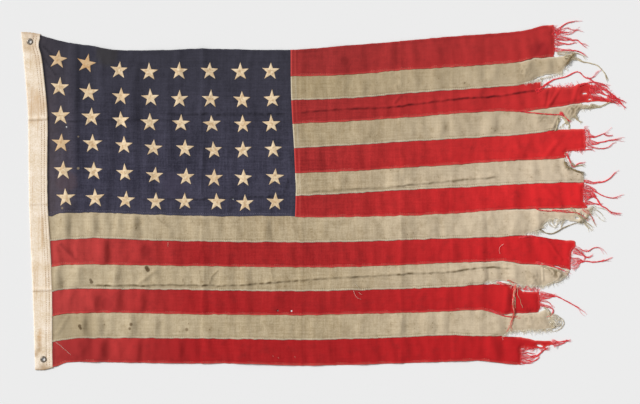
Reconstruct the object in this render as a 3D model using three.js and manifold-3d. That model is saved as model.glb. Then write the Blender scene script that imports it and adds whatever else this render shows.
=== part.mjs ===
// A sewn wool-bunting flag, worn and torn along its fly, lying face up on a flat surface.
//
// Millimetres. +X runs from the heading to the torn fly, +Y towards the flag's top edge, and +Z up.
// Places below are measured from the top of the heading's outer edge. At the end the whole flag is moved so
// that its origin is the middle of its footprint, on the surface.

import * as THREE from "three";
import { mergeVertices } from "three/addons/utils/BufferGeometryUtils.js";
import Module from "manifold-3d";

const wasm = await Module();
wasm.setup();

// Driving sizes
const clothThickness = 1.2; // wool bunting, with its felled seams
const headingThickness = 2.6; // canvas folded over the cloth's edge
const pieceGap = 0.3; // clear space between pieces that are sewn together
const flagLength = 1740; // a little more than the flag's length, to place its grid lines
const columnStep = 42; // grid spacing of the cloth along X
const headingStep = 36; // grid spacing of the heading along Y
const farOff = 400; // how far a cutting outline runs past the cloth

// Grommet: a barrel through the canvas, with a flange on each side
const grommet = { hole: 4.75, barrel: 5.6, flange: 9.2, flangeThickness: 0.8, crown: 1.2, sides: 18 };
const grommetCentres = { grommet_top: [24, -26], grommet_bottom: [62, -915] };

// Heading, from top to bottom: its outer edge and the edge beside the cloth
const headingOuter = [
  [0, -2], [10, -109], [19, -225], [20, -282], [22, -470], [25, -554], [31, -699], [36, -834], [39, -945],
];
const headingInner = [
  [54, -5], [49, -33], [56, -61], [62, -104], [72, -204], [74, -260], [74, -470],
  [80, -573], [87, -722], [87, -865], [89, -939],
];
const headingTop = [[-20, 0], [20, 0], [54, -5], [120, -8]];
const headingBottom = [[0, -946], [39, -945], [64, -945], [89, -939], [120, -937]];

// The canton's edge beside the short stripes, from top to bottom
const cantonFly = [
  [754, -20], [754, -50], [755, -165], [759, -249], [764, -333], [768, -452], [766, -530],
];

// Edges and seams from the top of the flag to the bottom, each from the hoist to the fly.
// Seam n lies between stripes n and n + 1, and seam 7 is also the canton's lower edge.
const edges = [
  [[54, -8], [92, -19], [145, -31], [198, -38], [260, -49], [402, -50], [500, -46], [752, -49],
    [920, -36], [1060, -25], [1200, -12], [1340, -2], [1408, 5], [1455, 17], [1493, 23]],
  [[752, -123], [920, -118], [1060, -106], [1200, -97], [1340, -87], [1399, -81], [1441, -71],
    [1508, -68], [1542, -57]],
  [[752, -189], [920, -184], [1060, -172], [1200, -161], [1340, -152], [1399, -146], [1486, -133],
    [1525, -129]],
  [[752, -256], [920, -248], [1060, -239], [1200, -228], [1340, -220], [1399, -221], [1469, -213],
    [1528, -204], [1570, -198], [1626, -194], [1690, -212]],
  [[752, -324], [920, -315], [1060, -306], [1200, -298], [1340, -290], [1427, -283], [1497, -274],
    [1542, -270]],
  [[752, -394], [920, -388], [1060, -379], [1200, -371], [1368, -359], [1497, -354], [1553, -348]],
  [[752, -458], [920, -450], [1060, -441], [1200, -435], [1368, -426], [1455, -422], [1576, -420]],
  [[72, -514], [94, -508], [125, -505], [187, -504], [265, -506], [372, -510], [556, -514], [752, -514],
    [786, -517], [920, -516], [1060, -513], [1200, -507], [1284, -501], [1399, -494], [1542, -492],
    [1584, -492], [1640, -486]],
  [[75, -584], [108, -580], [159, -577], [226, -576], [372, -582], [584, -586], [920, -586],
    [1060, -581], [1200, -576], [1340, -572], [1422, -568], [1486, -578], [1525, -582]],
  [[78, -657], [114, -651], [192, -649], [444, -653], [780, -657], [920, -656], [1060, -651],
    [1200, -645], [1352, -640], [1399, -647], [1455, -651], [1514, -659], [1545, -667]],
  [[80, -726], [114, -720], [164, -717], [444, -720], [780, -724], [920, -721], [1060, -718],
    [1200, -712], [1340, -705], [1377, -711], [1408, -724], [1452, -727], [1520, -733]],
  [[83, -795], [108, -790], [150, -786], [248, -784], [444, -788], [780, -791], [920, -788],
    [1060, -785], [1200, -780], [1284, -777], [1343, -788], [1399, -786], [1447, -783], [1475, -771]],
  [[83, -867], [114, -861], [164, -856], [444, -856], [780, -860], [920, -858], [1060, -853],
    [1200, -847], [1284, -850], [1399, -853], [1438, -861], [1500, -862]],
  [[80, -937], [103, -932], [131, -923], [248, -923], [444, -926], [612, -927], [780, -932],
    [920, -930], [1060, -926], [1200, -921], [1284, -919], [1340, -925], [1399, -931], [1500, -933]],
];

// The torn end of each stripe, from its upper edge to its lower one
const tornEnds = {
  stripe_1: [[1490, 34], [1494, -53], [1489, -78]],
  stripe_2: [
    [1545, -44], [1553, -62], [1548, -75], [1531, -89], [1518, -106], [1517, -114], [1466, -120],
    [1438, -131], [1410, -156],
  ],
  stripe_3: [
    [1455, -123], [1457, -156], [1486, -153], [1539, -153], [1559, -144], [1581, -142], [1620, -151],
    [1648, -172], [1665, -186], [1685, -198], [1682, -208], [1654, -202], [1626, -212],
  ],
  stripe_4: [
    [1559, -184], [1570, -201], [1606, -204], [1620, -207], [1592, -211], [1566, -215], [1553, -235],
    [1542, -240], [1527, -260], [1518, -246], [1510, -235], [1502, -260], [1494, -282],
  ],
  stripe_5: [[1578, -263], [1580, -326], [1559, -333], [1525, -334], [1524, -363]],
  stripe_6: [[1522, -341], [1522, -371], [1542, -380], [1574, -394], [1576, -431]],
  stripe_7: [[1576, -408], [1573, -474], [1584, -485], [1583, -503]],
  stripe_8: [
    [1587, -481], [1606, -489], [1615, -503], [1604, -523], [1584, -536], [1536, -536], [1497, -555],
    [1478, -558], [1455, -554], [1419, -564], [1374, -582],
  ],
  stripe_9: [[1525, -565], [1551, -593], [1550, -604], [1539, -615], [1536, -683]],
  stripe_10: [
    [1525, -643], [1536, -669], [1531, -681], [1513, -691], [1507, -699], [1466, -711], [1424, -715],
    [1396, -708], [1368, -698], [1340, -696], [1301, -701], [1273, -722],
  ],
  stripe_11: [[1380, -694], [1394, -715], [1405, -726], [1419, -718], [1451, -725], [1452, -774], [1441, -800]],
  stripe_12: [
    [1452, -761], [1469, -774], [1480, -783], [1502, -795], [1519, -811], [1513, -825], [1490, -837],
    [1444, -839], [1368, -838], [1353, -851], [1340, -867],
  ],
  stripe_13: [[1466, -845], [1493, -877], [1469, -886], [1399, -884], [1399, -923], [1399, -946]],
};

// Bundles of loose thread that stay on a torn end, each from its root in the cloth to its tip
const threadWidth = { root: 7, tip: 2.4 };
const threads = {
  stripe_1: [
    [[1475, -11], [1497, 3], [1522, 23], [1550, 30], [1587, 30]],
    [[1475, -22], [1525, -19], [1556, -26], [1587, -40]],
    [[1475, -47], [1525, -48], [1564, -50], [1584, -64]],
  ],
  stripe_2: [[[1525, -72], [1550, -75], [1573, -83], [1598, -89], [1615, -95], [1632, -114], [1645, -143]]],
  stripe_3: [[[1436, -168], [1461, -160], [1486, -134], [1525, -124], [1556, -114], [1581, -127], [1604, -117]]],
  stripe_5: [
    [[1559, -278], [1592, -292], [1620, -286], [1657, -273]],
    [[1559, -299], [1598, -310], [1626, -307], [1685, -300]],
    [[1531, -327], [1564, -326], [1606, -329]],
  ],
  stripe_6: [[[1553, -411], [1604, -421], [1629, -417], [1648, -408], [1676, -389]]],
  stripe_7: [
    [[1553, -433], [1598, -442], [1620, -456], [1646, -464], [1685, -461]],
    [[1553, -456], [1592, -454], [1615, -467], [1632, -487], [1648, -502], [1679, -512]],
  ],
  stripe_8: [[[1581, -501], [1612, -506], [1639, -529]]],
  stripe_9: [
    [[1510, -636], [1562, -636], [1587, -643], [1615, -643], [1657, -634]],
    [[1520, -607], [1570, -613], [1606, -606], [1633, -627]],
  ],
  stripe_11: [[[1424, -738], [1483, -739], [1520, -750], [1559, -772], [1578, -790]]],
  stripe_13: [
    [[1452, -867], [1486, -866], [1539, -862]],
    [[1374, -909], [1427, -910], [1447, -903], [1466, -893]],
    [[1374, -918], [1419, -922], [1447, -916]],
  ],
};

// Fold ridges that run from the top of the flag to the bottom
const folds = [
  { x: 509, height: 4, halfWidth: 24 },
  { x: 780, height: 5, halfWidth: 26 },
  { x: 864, height: 2, halfWidth: 28 },
  { x: 1058, height: 5, halfWidth: 24 },
  { x: 1206, height: 2.5, halfWidth: 30 },
  { x: 1310, height: 2, halfWidth: 30 },
];

// Pleats that run along the middle of a stripe
const pleats = {
  stripe_3: { height: 4, line: [[780, -221], [1041, -208], [1144, -195], [1329, -178], [1452, -161]] },
  stripe_6: { height: 3, line: [[780, -445], [1046, -426], [1144, -418], [1340, -406], [1500, -392]] },
  stripe_10: { height: 3, line: [[80, -694], [240, -705], [590, -705], [836, -690], [1200, -669], [1508, -671]] },
};

const pleatFade = { start: 30, end: 90 }; // a pleat dies out over this distance inside its own line's ends
const hills = { height: 1.6, lengthX: 62, lengthY: 95, lean: 0.3 }; // long soft waves
const flatBand = { hoist: 95, hoistEnd: 150, flyStart: 1290, fly: 1370 }; // here the cloth comes down flat

// Colours of the finished cloth, canvas and metal
const finishes = {
  red: { color: 0xb8282e, roughness: 0.9, metalness: 0 },
  white: { color: 0xc2b490, roughness: 0.9, metalness: 0 },
  blue: { color: 0x3e3b4a, roughness: 0.9, metalness: 0 },
  canvas: { color: 0xe8d4b4, roughness: 0.85, metalness: 0 },
  metal: { color: 0x8a8078, roughness: 0.45, metalness: 0.9 },
};

// ---- Curves ----

// A smooth line through points, read as a function of coordinate `along` (0 for x, 1 for y).
function readLine(points, along, value) {
  const across = 1 - along;
  const sign = Math.sign(points[points.length - 1][along] - points[0][along]);
  const last = points.length - 2;
  let i = 0;
  while (i < last && (value - points[i + 1][along]) * sign > 0) i += 1;
  const slope = (a, b) => (points[b][across] - points[a][across]) / (points[b][along] - points[a][along]);
  const width = points[i + 1][along] - points[i][along];
  const t = THREE.MathUtils.clamp((value - points[i][along]) / width, 0, 1);
  const from = points[i][across];
  const to = points[i + 1][across];
  const startSlope = i > 0 ? slope(i - 1, i + 1) : slope(i, i + 1);
  const endSlope = i < last ? slope(i, i + 2) : slope(i, i + 1);
  const rise = t * t * (3 - 2 * t);
  const bow = t * (1 - t) * width * ((1 - t) * startSlope - t * endSlope);
  return from + (to - from) * rise + bow;
}

const yAt = (points, x) => readLine(points, 0, x);
const xAt = (points, y) => readLine(points, 1, y);

const headingRows = Math.round(-headingBottom[1][1] / headingStep);

// A point of the heading: `across` is 0 on its outer edge and 1 beside the cloth, and rows count down
function headingPoint(across, row) {
  const level = (headingBottom[1][1] * row) / headingRows;
  const x = THREE.MathUtils.lerp(xAt(headingOuter, level), xAt(headingInner, level), across);
  const y = THREE.MathUtils.lerp(yAt(headingTop, x), yAt(headingBottom, x), row / headingRows);
  return [x, y];
}

const clothHoist = Array.from({ length: headingRows + 1 }, (_, row) => headingPoint(1, row));

// ---- Height of the cloth above the surface ----

function flatness(x) {
  const fromHoist = THREE.MathUtils.smoothstep(x, flatBand.hoist, flatBand.hoistEnd);
  const fromFly = 1 - THREE.MathUtils.smoothstep(x, flatBand.flyStart, flatBand.fly);
  return fromHoist * fromFly;
}

function clothHeight(x, y) {
  const wave = hills.height * Math.sin(x / hills.lengthX) * Math.sin((y + hills.lean * x) / hills.lengthY);
  let height = Math.max(0, wave);
  for (const fold of folds) {
    const away = Math.abs(x - fold.x) / fold.halfWidth;
    if (away < 1) height += fold.height * Math.cos((away * Math.PI) / 2) ** 2;
  }
  return height * flatness(x);
}

function pleatHeight(pleat, x) {
  const first = pleat.line[0][0];
  const last = pleat.line[pleat.line.length - 1][0];
  const inside = Math.min(x - first, last - x);
  return pleat.height * THREE.MathUtils.smoothstep(inside, pleatFade.start, pleatFade.end) * flatness(x);
}

// ---- Solids ----

function toSolid(geometry) {
  const bare = geometry.clone();
  bare.deleteAttribute("normal");
  bare.deleteAttribute("uv");
  const merged = mergeVertices(bare, 1e-3);
  return new wasm.Manifold(
    new wasm.Mesh({
      numProp: 3,
      vertProperties: merged.attributes.position.array,
      triVerts: new Uint32Array(merged.index.array),
    }),
  );
}

function toMesh(name, solid, finish) {
  const { numProp, vertProperties, triVerts } = solid.getMesh();
  const geometry = new THREE.BufferGeometry();
  geometry.setAttribute("position", new THREE.BufferAttribute(new Float32Array(vertProperties), numProp));
  geometry.setIndex(new THREE.BufferAttribute(new Uint32Array(triVerts), 1));
  geometry.computeVertexNormals();
  const mesh = new THREE.Mesh(geometry, new THREE.MeshStandardMaterial(finish));
  mesh.name = name;
  return mesh;
}

// A grid of cells between z = 0 and z = 1 is bent by place(column, row) to [x, y, underside, thickness].
function bentSheet(columns, rows, place) {
  const geometry = new THREE.BoxGeometry(1, 1, 1, columns, rows, 1);
  const corners = geometry.attributes.position;
  for (let i = 0; i < corners.count; i += 1) {
    const column = Math.round((corners.getX(i) + 0.5) * columns);
    const row = Math.round((0.5 - corners.getY(i)) * rows);
    const [x, y, underside, thickness] = place(column, row);
    const lift = corners.getZ(i) > 0 ? thickness : 0;
    corners.setXYZ(i, x, y, underside + lift);
  }
  return toSolid(geometry);
}

// An upright prism over a closed outline
function prism(outline, bottom, top) {
  const shape = new THREE.Shape(outline.map(([x, y]) => new THREE.Vector2(x, y)));
  const geometry = new THREE.ExtrudeGeometry(shape, { depth: top - bottom, bevelEnabled: false });
  geometry.translate(0, 0, bottom);
  return toSolid(geometry);
}

// Grid lines along X, shared by all panels: an even spacing, with a line on the crest and feet of each fold
function makeColumns() {
  const even = Array.from({ length: Math.ceil(flagLength / columnStep) }, (_, i) => i * columnStep);
  const onFolds = folds.flatMap(({ x, halfWidth }) => [x - 0.8 * halfWidth, x, x + 0.8 * halfWidth]);
  const clearOfFolds = (x) => folds.every((fold) => Math.abs(x - fold.x) > 1.3 * fold.halfWidth);
  return [...even.filter(clearOfFolds), ...onFolds].sort((a, b) => a - b);
}

const columns = makeColumns();

// The shared grid lines that cover a stretch of the flag
function columnsOver(from, to) {
  const first = columns.findLastIndex((x) => x <= from);
  const last = columns.findIndex((x) => x >= to);
  return columns.slice(first, last + 1);
}

// ---- Cloth panels ----

// The cloth between two seams, before its ends are cut. A pleat is the grid's middle row.
function clothBetween(upper, lower, from, to, rows, pleat) {
  const stations = columnsOver(from, to);
  const place = (column, row) => {
    const x = stations[column];
    const top = yAt(upper, x) - pieceGap / 2;
    const bottom = yAt(lower, x) + pieceGap / 2;
    let y = top + ((bottom - top) * row) / rows;
    let height = clothHeight(x, y);
    if (pleat && 2 * row === rows) {
      y = THREE.MathUtils.clamp(yAt(pleat.line, x), bottom + 12, top - 12);
      height = clothHeight(x, y) + pleatHeight(pleat, x);
    }
    return [x, y, height, clothThickness];
  };
  return bentSheet(stations.length - 1, rows, place);
}

function edgeStrip(line, gap) {
  return line.map(([x, y]) => [x + gap, y]);
}

// A flat tapering strip of thread along its path
function threadBundle(path) {
  const curve = new THREE.CatmullRomCurve3(path.map(([x, y]) => new THREE.Vector3(x, y, 0)));
  const steps = 2 * (path.length - 1);
  const left = [];
  const right = [];
  for (let i = 0; i <= steps; i += 1) {
    const t = i / steps;
    const point = curve.getPoint(t);
    const side = curve.getTangent(t).cross(new THREE.Vector3(0, 0, 1)).normalize();
    const half = THREE.MathUtils.lerp(threadWidth.root, threadWidth.tip, t) / 2;
    left.push([point.x - side.x * half, point.y - side.y * half]);
    right.unshift([point.x + side.x * half, point.y + side.y * half]);
  }
  return prism([...left, ...right], 0, clothThickness);
}

function makeCanton() {
  const from = headingInner[0][0] - 10;
  const to = cantonFly[4][0] + 10;
  const cloth = clothBetween(edges[0], edges[7], from, to, 10, null);
  const hoist = edgeStrip(clothHoist, pieceGap);
  const fly = edgeStrip(cantonFly, -pieceGap / 2);
  const outline = [[60, farOff], ...hoist, [90, -farOff * 3], [766, -farOff * 3], ...fly.reverse(), [754, farOff]];
  return cloth.intersect(prism(outline, -10, 30));
}

function makeStripe(number) {
  const name = "stripe_" + number;
  const short = number <= 7;
  const torn = tornEnds[name];
  const to = Math.max(...torn.map(([x]) => x)) + 4;
  const from = short ? cantonFly[0][0] - 4 : headingInner[0][0];
  const cloth = clothBetween(edges[number - 1], edges[number], from, to, 2, pleats[name]);
  const hoist = short ? edgeStrip(cantonFly, pieceGap / 2) : edgeStrip(clothHoist, pieceGap);
  const upperEnd = torn[0];
  const lowerEnd = torn[torn.length - 1];
  const outline = [
    [hoist[0][0], farOff],
    ...hoist,
    [hoist[hoist.length - 1][0], -farOff * 3],
    [lowerEnd[0], -farOff * 3],
    ...torn.slice().reverse(),
    [upperEnd[0], farOff],
  ];
  let solid = cloth.intersect(prism(outline, -10, 30));
  for (const path of threads[name] ?? []) solid = solid.add(threadBundle(path));
  return toMesh(name, solid, number % 2 ? finishes.red : finishes.white);
}

// ---- Heading and grommets ----

function makeHeading() {
  const place = (column, row) => [...headingPoint(column / 2, row), 0, headingThickness];
  let solid = bentSheet(2, headingRows, place);
  for (const [x, y] of Object.values(grommetCentres)) {
    const hole = new THREE.CylinderGeometry(1, 1, 1, grommet.sides).rotateX(Math.PI / 2);
    const barrel = hole.clone().scale(grommet.barrel + pieceGap, grommet.barrel + pieceGap, 20);
    const pressed = hole.clone().scale(grommet.flange + pieceGap, grommet.flange + pieceGap, 20);
    pressed.translate(0, 0, grommet.flangeThickness + pieceGap - 10);
    solid = solid.subtract(toSolid(barrel.translate(x, y, 0)));
    solid = solid.subtract(toSolid(pressed.translate(x, y, 0)));
  }
  return toMesh("heading", solid, finishes.canvas);
}

function makeGrommet(name) {
  const { hole, barrel, flange, flangeThickness, crown, sides } = grommet;
  const seat = headingThickness + pieceGap;
  const profile = [
    [hole, 0.4], [hole + 0.5, 0], [flange, 0], [flange, flangeThickness], [barrel, flangeThickness],
    [barrel, seat], [flange, seat], [flange - 0.6, seat + 0.7], [barrel + 0.6, seat + crown],
    [hole, seat + 0.6], [hole, 0.4],
  ];
  const turned = new THREE.LatheGeometry(profile.map(([r, z]) => new THREE.Vector2(r, z)), sides);
  turned.rotateX(Math.PI / 2);
  const [x, y] = grommetCentres[name];
  return toMesh(name, toSolid(turned.translate(x, y, 0)), finishes.metal);
}

// ---- The flag ----

const flag = new THREE.Group();
flag.add(makeHeading());
for (const name of Object.keys(grommetCentres)) flag.add(makeGrommet(name));
flag.add(toMesh("canton", makeCanton(), finishes.blue));
for (let number = 1; number <= 13; number += 1) flag.add(makeStripe(number));

const footprint = new THREE.Box3().setFromObject(flag);
const middle = footprint.getCenter(new THREE.Vector3());
flag.position.set(-middle.x, -middle.y, -footprint.min.z);

export default flag;
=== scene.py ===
import math
import random

import bmesh
import bpy
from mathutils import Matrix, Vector, noise


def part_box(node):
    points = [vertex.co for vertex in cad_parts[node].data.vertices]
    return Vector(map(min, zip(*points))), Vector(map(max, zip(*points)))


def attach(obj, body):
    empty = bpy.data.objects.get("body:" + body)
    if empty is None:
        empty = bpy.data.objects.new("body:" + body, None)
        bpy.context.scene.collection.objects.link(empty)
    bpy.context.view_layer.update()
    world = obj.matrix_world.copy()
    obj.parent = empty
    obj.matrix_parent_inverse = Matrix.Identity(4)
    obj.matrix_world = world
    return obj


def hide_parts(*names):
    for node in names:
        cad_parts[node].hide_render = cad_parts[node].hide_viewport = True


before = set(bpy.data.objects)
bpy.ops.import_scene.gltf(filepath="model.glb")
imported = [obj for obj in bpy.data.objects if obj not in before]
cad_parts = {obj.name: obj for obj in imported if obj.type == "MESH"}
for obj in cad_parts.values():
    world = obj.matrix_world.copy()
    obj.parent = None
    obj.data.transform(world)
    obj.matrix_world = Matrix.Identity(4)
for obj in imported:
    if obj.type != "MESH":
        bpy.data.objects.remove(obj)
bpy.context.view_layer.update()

mm = 0.001

# Places below are millimetres from the top of the heading's outer edge, as the flag is laid out.
eyeletCentres = {"top": (24, -26), "bottom": (62, -915)}
eyeletLow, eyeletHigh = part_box("grommet_top")
cornerX = (eyeletLow[0] + eyeletHigh[0]) / 2 - eyeletCentres["top"][0] * mm
cornerY = (eyeletLow[1] + eyeletHigh[1]) / 2 - eyeletCentres["top"][1] * mm


def placed(x, y, z):
    return Vector((cornerX + x * mm, cornerY + y * mm, z * mm))


def dyeOf(number):
    return "red" if number % 2 else "white"


# Camera straight above, with a long lens
view = {"lens": 85, "sensor": 36, "width": 1792, "middle": (836, -475), "clipEnd": 50}


def makeCamera():
    data = bpy.data.cameras.new("camera")
    data.lens = view["lens"]
    data.sensor_width = view["sensor"]
    data.clip_end = view["clipEnd"]
    camera = bpy.data.objects.new("camera", data)
    camera.location = placed(*view["middle"], view["width"] * view["lens"] / view["sensor"])
    bpy.context.collection.objects.link(camera)
    bpy.context.scene.camera = camera


makeCamera()
print("camera placed")

# Lines of the sewn flag, each a smooth curve through a few points
headingOuter = [
    (0, -2), (10, -109), (19, -225), (20, -282), (22, -470), (25, -554), (31, -699), (36, -834), (39, -945),
]
headingInner = [
    (54, -5), (49, -33), (56, -61), (62, -104), (72, -204), (74, -260), (74, -470),
    (80, -573), (87, -722), (87, -865), (89, -939),
]
headingTop = [(-20, 0), (20, 0), (54, -5), (120, -8)]
headingBottom = [(0, -946), (39, -945), (64, -945), (89, -939), (120, -937)]
cantonFly = [(754, -20), (754, -50), (755, -165), (759, -249), (764, -333), (768, -452), (766, -530)]

# Edges and seams from the top of the flag to the bottom; seam 7 is also the canton's lower edge
edges = [
    [(54, -8), (92, -19), (145, -31), (198, -38), (260, -49), (402, -50), (500, -46), (752, -49),
     (920, -36), (1060, -25), (1200, -12), (1340, -2), (1408, 5), (1455, 17), (1493, 23)],
    [(752, -123), (920, -118), (1060, -106), (1200, -97), (1340, -87), (1399, -81), (1441, -71),
     (1508, -68), (1542, -57)],
    [(752, -189), (920, -184), (1060, -172), (1200, -161), (1340, -152), (1399, -146), (1486, -133),
     (1525, -129)],
    [(752, -256), (920, -248), (1060, -239), (1200, -228), (1340, -220), (1399, -221), (1469, -213),
     (1528, -204), (1570, -198), (1626, -194), (1690, -212)],
    [(752, -324), (920, -315), (1060, -306), (1200, -298), (1340, -290), (1427, -283), (1497, -274),
     (1542, -270)],
    [(752, -394), (920, -388), (1060, -379), (1200, -371), (1368, -359), (1497, -354), (1553, -348)],
    [(752, -458), (920, -450), (1060, -441), (1200, -435), (1368, -426), (1455, -422), (1576, -420)],
    [(72, -514), (94, -508), (125, -505), (187, -504), (265, -506), (372, -510), (556, -514), (752, -514),
     (786, -517), (920, -516), (1060, -513), (1200, -507), (1284, -501), (1399, -494), (1542, -492),
     (1584, -492), (1640, -486)],
    [(75, -584), (108, -580), (159, -577), (226, -576), (372, -582), (584, -586), (920, -586),
     (1060, -581), (1200, -576), (1340, -572), (1422, -568), (1486, -578), (1525, -582)],
    [(78, -657), (114, -651), (192, -649), (444, -653), (780, -657), (920, -656), (1060, -651),
     (1200, -645), (1352, -640), (1399, -647), (1455, -651), (1514, -659), (1545, -667)],
    [(80, -726), (114, -720), (164, -717), (444, -720), (780, -724), (920, -721), (1060, -718),
     (1200, -712), (1340, -705), (1377, -711), (1408, -724), (1452, -727), (1520, -733)],
    [(83, -795), (108, -790), (150, -786), (248, -784), (444, -788), (780, -791), (920, -788),
     (1060, -785), (1200, -780), (1284, -777), (1343, -788), (1399, -786), (1447, -783), (1475, -771)],
    [(83, -867), (114, -861), (164, -856), (444, -856), (780, -860), (920, -858), (1060, -853),
     (1200, -847), (1284, -850), (1399, -853), (1438, -861), (1500, -862)],
    [(80, -937), (103, -932), (131, -923), (248, -923), (444, -926), (612, -927), (780, -932),
     (920, -930), (1060, -926), (1200, -921), (1284, -919), (1340, -925), (1399, -931), (1500, -933)],
]
edgeWander = {"pitch": 16, "size": 1.5, "stitchPitch": 6, "stitchSize": 0.8, "outerShare": 0.5}


def readLine(points, along, value):
    across = 1 - along
    forward = 1 if points[-1][along] > points[0][along] else -1
    last = len(points) - 2
    i = 0
    while i < last and (value - points[i + 1][along]) * forward > 0:
        i += 1

    def slope(a, b):
        return (points[b][across] - points[a][across]) / (points[b][along] - points[a][along])

    width = points[i + 1][along] - points[i][along]
    t = min(1, max(0, (value - points[i][along]) / width))
    startSlope = slope(i - 1, i + 1) if i > 0 else slope(i, i + 1)
    endSlope = slope(i, i + 2) if i < last else slope(i, i + 1)
    rise = t * t * (3 - 2 * t)
    bow = t * (1 - t) * width * ((1 - t) * startSlope - t * endSlope)
    return points[i][across] + (points[i + 1][across] - points[i][across]) * rise + bow


def yAt(points, x):
    return readLine(points, 0, x)


def xAt(points, y):
    return readLine(points, 1, y)


def perlin(x, y, z):
    return noise.noise(Vector((x, y, z)))


# A sewn edge pulls in and out a little with each stitch
def edgeAt(index, x):
    wander = edgeWander["size"] * perlin(x / edgeWander["pitch"], index * 7.7, 0.5)
    wander += edgeWander["stitchSize"] * perlin(x / edgeWander["stitchPitch"], index * 3.1, 4.5)
    return yAt(edges[index], x) + (1 if 0 < index < 13 else edgeWander["outerShare"]) * wander


def smoothStep(value, low, high):
    t = min(1, max(0, (value - low) / (high - low)))
    return t * t * (3 - 2 * t)


# A soft line of unit height where `away` is nought
def softLine(away, half):
    return math.exp(-(away / half) ** 2)


# How the bunting lies: long waves, ripples that are stronger at the hoist, and a fine crumple
cloth = {
    "thickness": 0.7,
    "lie": 1.15,  # top face above the surface where the cloth lies flat
    "rest": 0.8,  # how far the waves lift it on the average
    "sink": -0.25,
    "overStar": 0.12,  # the canton can't sink so far, as a second star lies under each star
    "flatHoist": (95, 150),
    "flatFly": (1290, 1370),
    "waveHeight": 1.6,
    "waveLength": (62, 95),
    "waveLean": 0.3,
    "rippleHeight": 2.6,
    "ripplePitch": (44, 260),
    "finePitch": (21, 120),
    "hoistSide": (190, 480),
    "hoistRipple": 1.3,
    "headingSide": (60, 130),
    "headingRipple": 0.35,
    "crumpleHeight": 0.75,
    "crumplePitch": (15, 24),
}

# Storage folds from the top to the bottom of the flag: where, how high, and how far the soft side runs
folds = [(507, 2.3, 26), (782, 1.4, 24), (864, 1.0, 26), (1062, 1.8, 22), (1206, 1.2, 24), (1310, 1.0, 24)]
foldShape = {"wander": 6, "rise": 6, "fall": 1.4}

# Between its two seams each stripe bags up in soft bulges, and in a few larger ones at the hoist end.
# A bag is listed by where its steep side lies, then its height and its lean. Number 0 is the canton.
bulges = {"pitch": 29, "hoist": 3.0, "middle": 3.6, "fly": 5.0, "flySide": (1100, 1400), "lean": 0.3,
          "lift": 0.22, "fullness": 0.6}
bagShape = {"rise": 32, "drop": 20, "lean": 70, "wander": 5, "hoist": 0.45, "hoistSide": (380, 520)}
bags = {
    0: [(160, 3.2, 0.1), (322, 3), (420, 2, 0.05), (600, 1.4)],
    1: [(950, 1.6), (1040, 1.8), (1150, 1.4, 0.1), (1290, 1.6)],
    2: [(820, 1.2), (975, 2.2), (1052, 1.8), (1180, 1.8, -0.2), (1330, 2, 0.3), (1420, 2.2, 0.2)],
    3: [(880, 1.2), (1030, 1.4), (1290, 1.6)],
    4: [(985, 2), (1050, 2.4), (1190, 2, 0.3), (1330, 2.2, 0.3), (1400, 2, -0.3)],
    5: [(830, 1.4), (1000, 1.8), (1130, 1.6), (1420, 2.2, 0.4)],
    6: [(900, 1.4), (1060, 2.2), (1160, 1.8), (1300, 1.8), (1440, 2.2)],
    7: [(860, 1.6), (1010, 1.6), (1080, 1.6), (1360, 2.4)],
    8: [(136, 3.4), (211, 4.2), (323, 5), (420, 2), (560, 2), (700, 1.6), (860, 2), (1007, 1.8),
        (1071, 1.8), (1167, 2), (1206, 1.8), (1298, 2.2), (1400, 2.4)],
    9: [(241, 4), (339, 4.8), (450, 2), (590, 2), (760, 1.8), (1010, 2), (1074, 2), (1175, 1.8),
        (1220, 1.8), (1298, 2), (1430, 2.2)],
    10: [(108, 3.4), (169, 4.2), (271, 2.8), (470, 2), (640, 1.6), (1062, 2), (1300, 2), (1390, 2.2)],
    11: [(141, 3.2), (216, 4), (276, 3), (342, 4.2), (520, 2), (720, 1.8), (900, 1.8), (1097, 2, 0.2),
         (1200, 2.2, 0.2), (1370, 2.6)],
    12: [(178, 4), (225, 3.4), (318, 4), (383, 3), (560, 2), (760, 1.8), (960, 2, 0.2), (1071, 2.2, 0.3),
         (1161, 2), (1195, 2), (1350, 2.2)],
    13: [(173, 4), (234, 4.2), (285, 3), (332, 4), (450, 2.4), (640, 2), (860, 2), (1084, 2.6), (1167, 2),
         (1237, 2.2), (1330, 2.4)],
}


def bulgeHeight(number, x, y, down):
    size = bulges["hoist"] + (bulges["middle"] - bulges["hoist"]) * smoothStep(x, *cloth["hoistSide"])
    size += (bulges["fly"] - bulges["middle"]) * smoothStep(x, *bulges["flySide"])
    wave = perlin((x + bulges["lean"] * y) / bulges["pitch"], number * 9.3, y / 300) + bulges["lift"]
    height = size * wave if number else 0
    rise, drop = bagShape["rise"], bagShape["drop"]
    for at, lift, *lean in bags[number]:
        past = x - at + drop / 2 - sum(lean) * bagShape["lean"] * (0.5 - down)
        past += bagShape["wander"] * perlin(down * 2.2, at, number)
        lift *= 1 + bagShape["hoist"] * (1 - smoothStep(at, *bagShape["hoistSide"]))
        if -rise < past <= 0:
            height += lift * smoothStep(past, -rise, 0)
        elif 0 < past < drop:
            height += lift * (1 - smoothStep(past, 0, drop))
    return height * math.sin(math.pi * min(1, max(0, down))) ** bulges["fullness"]


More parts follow.
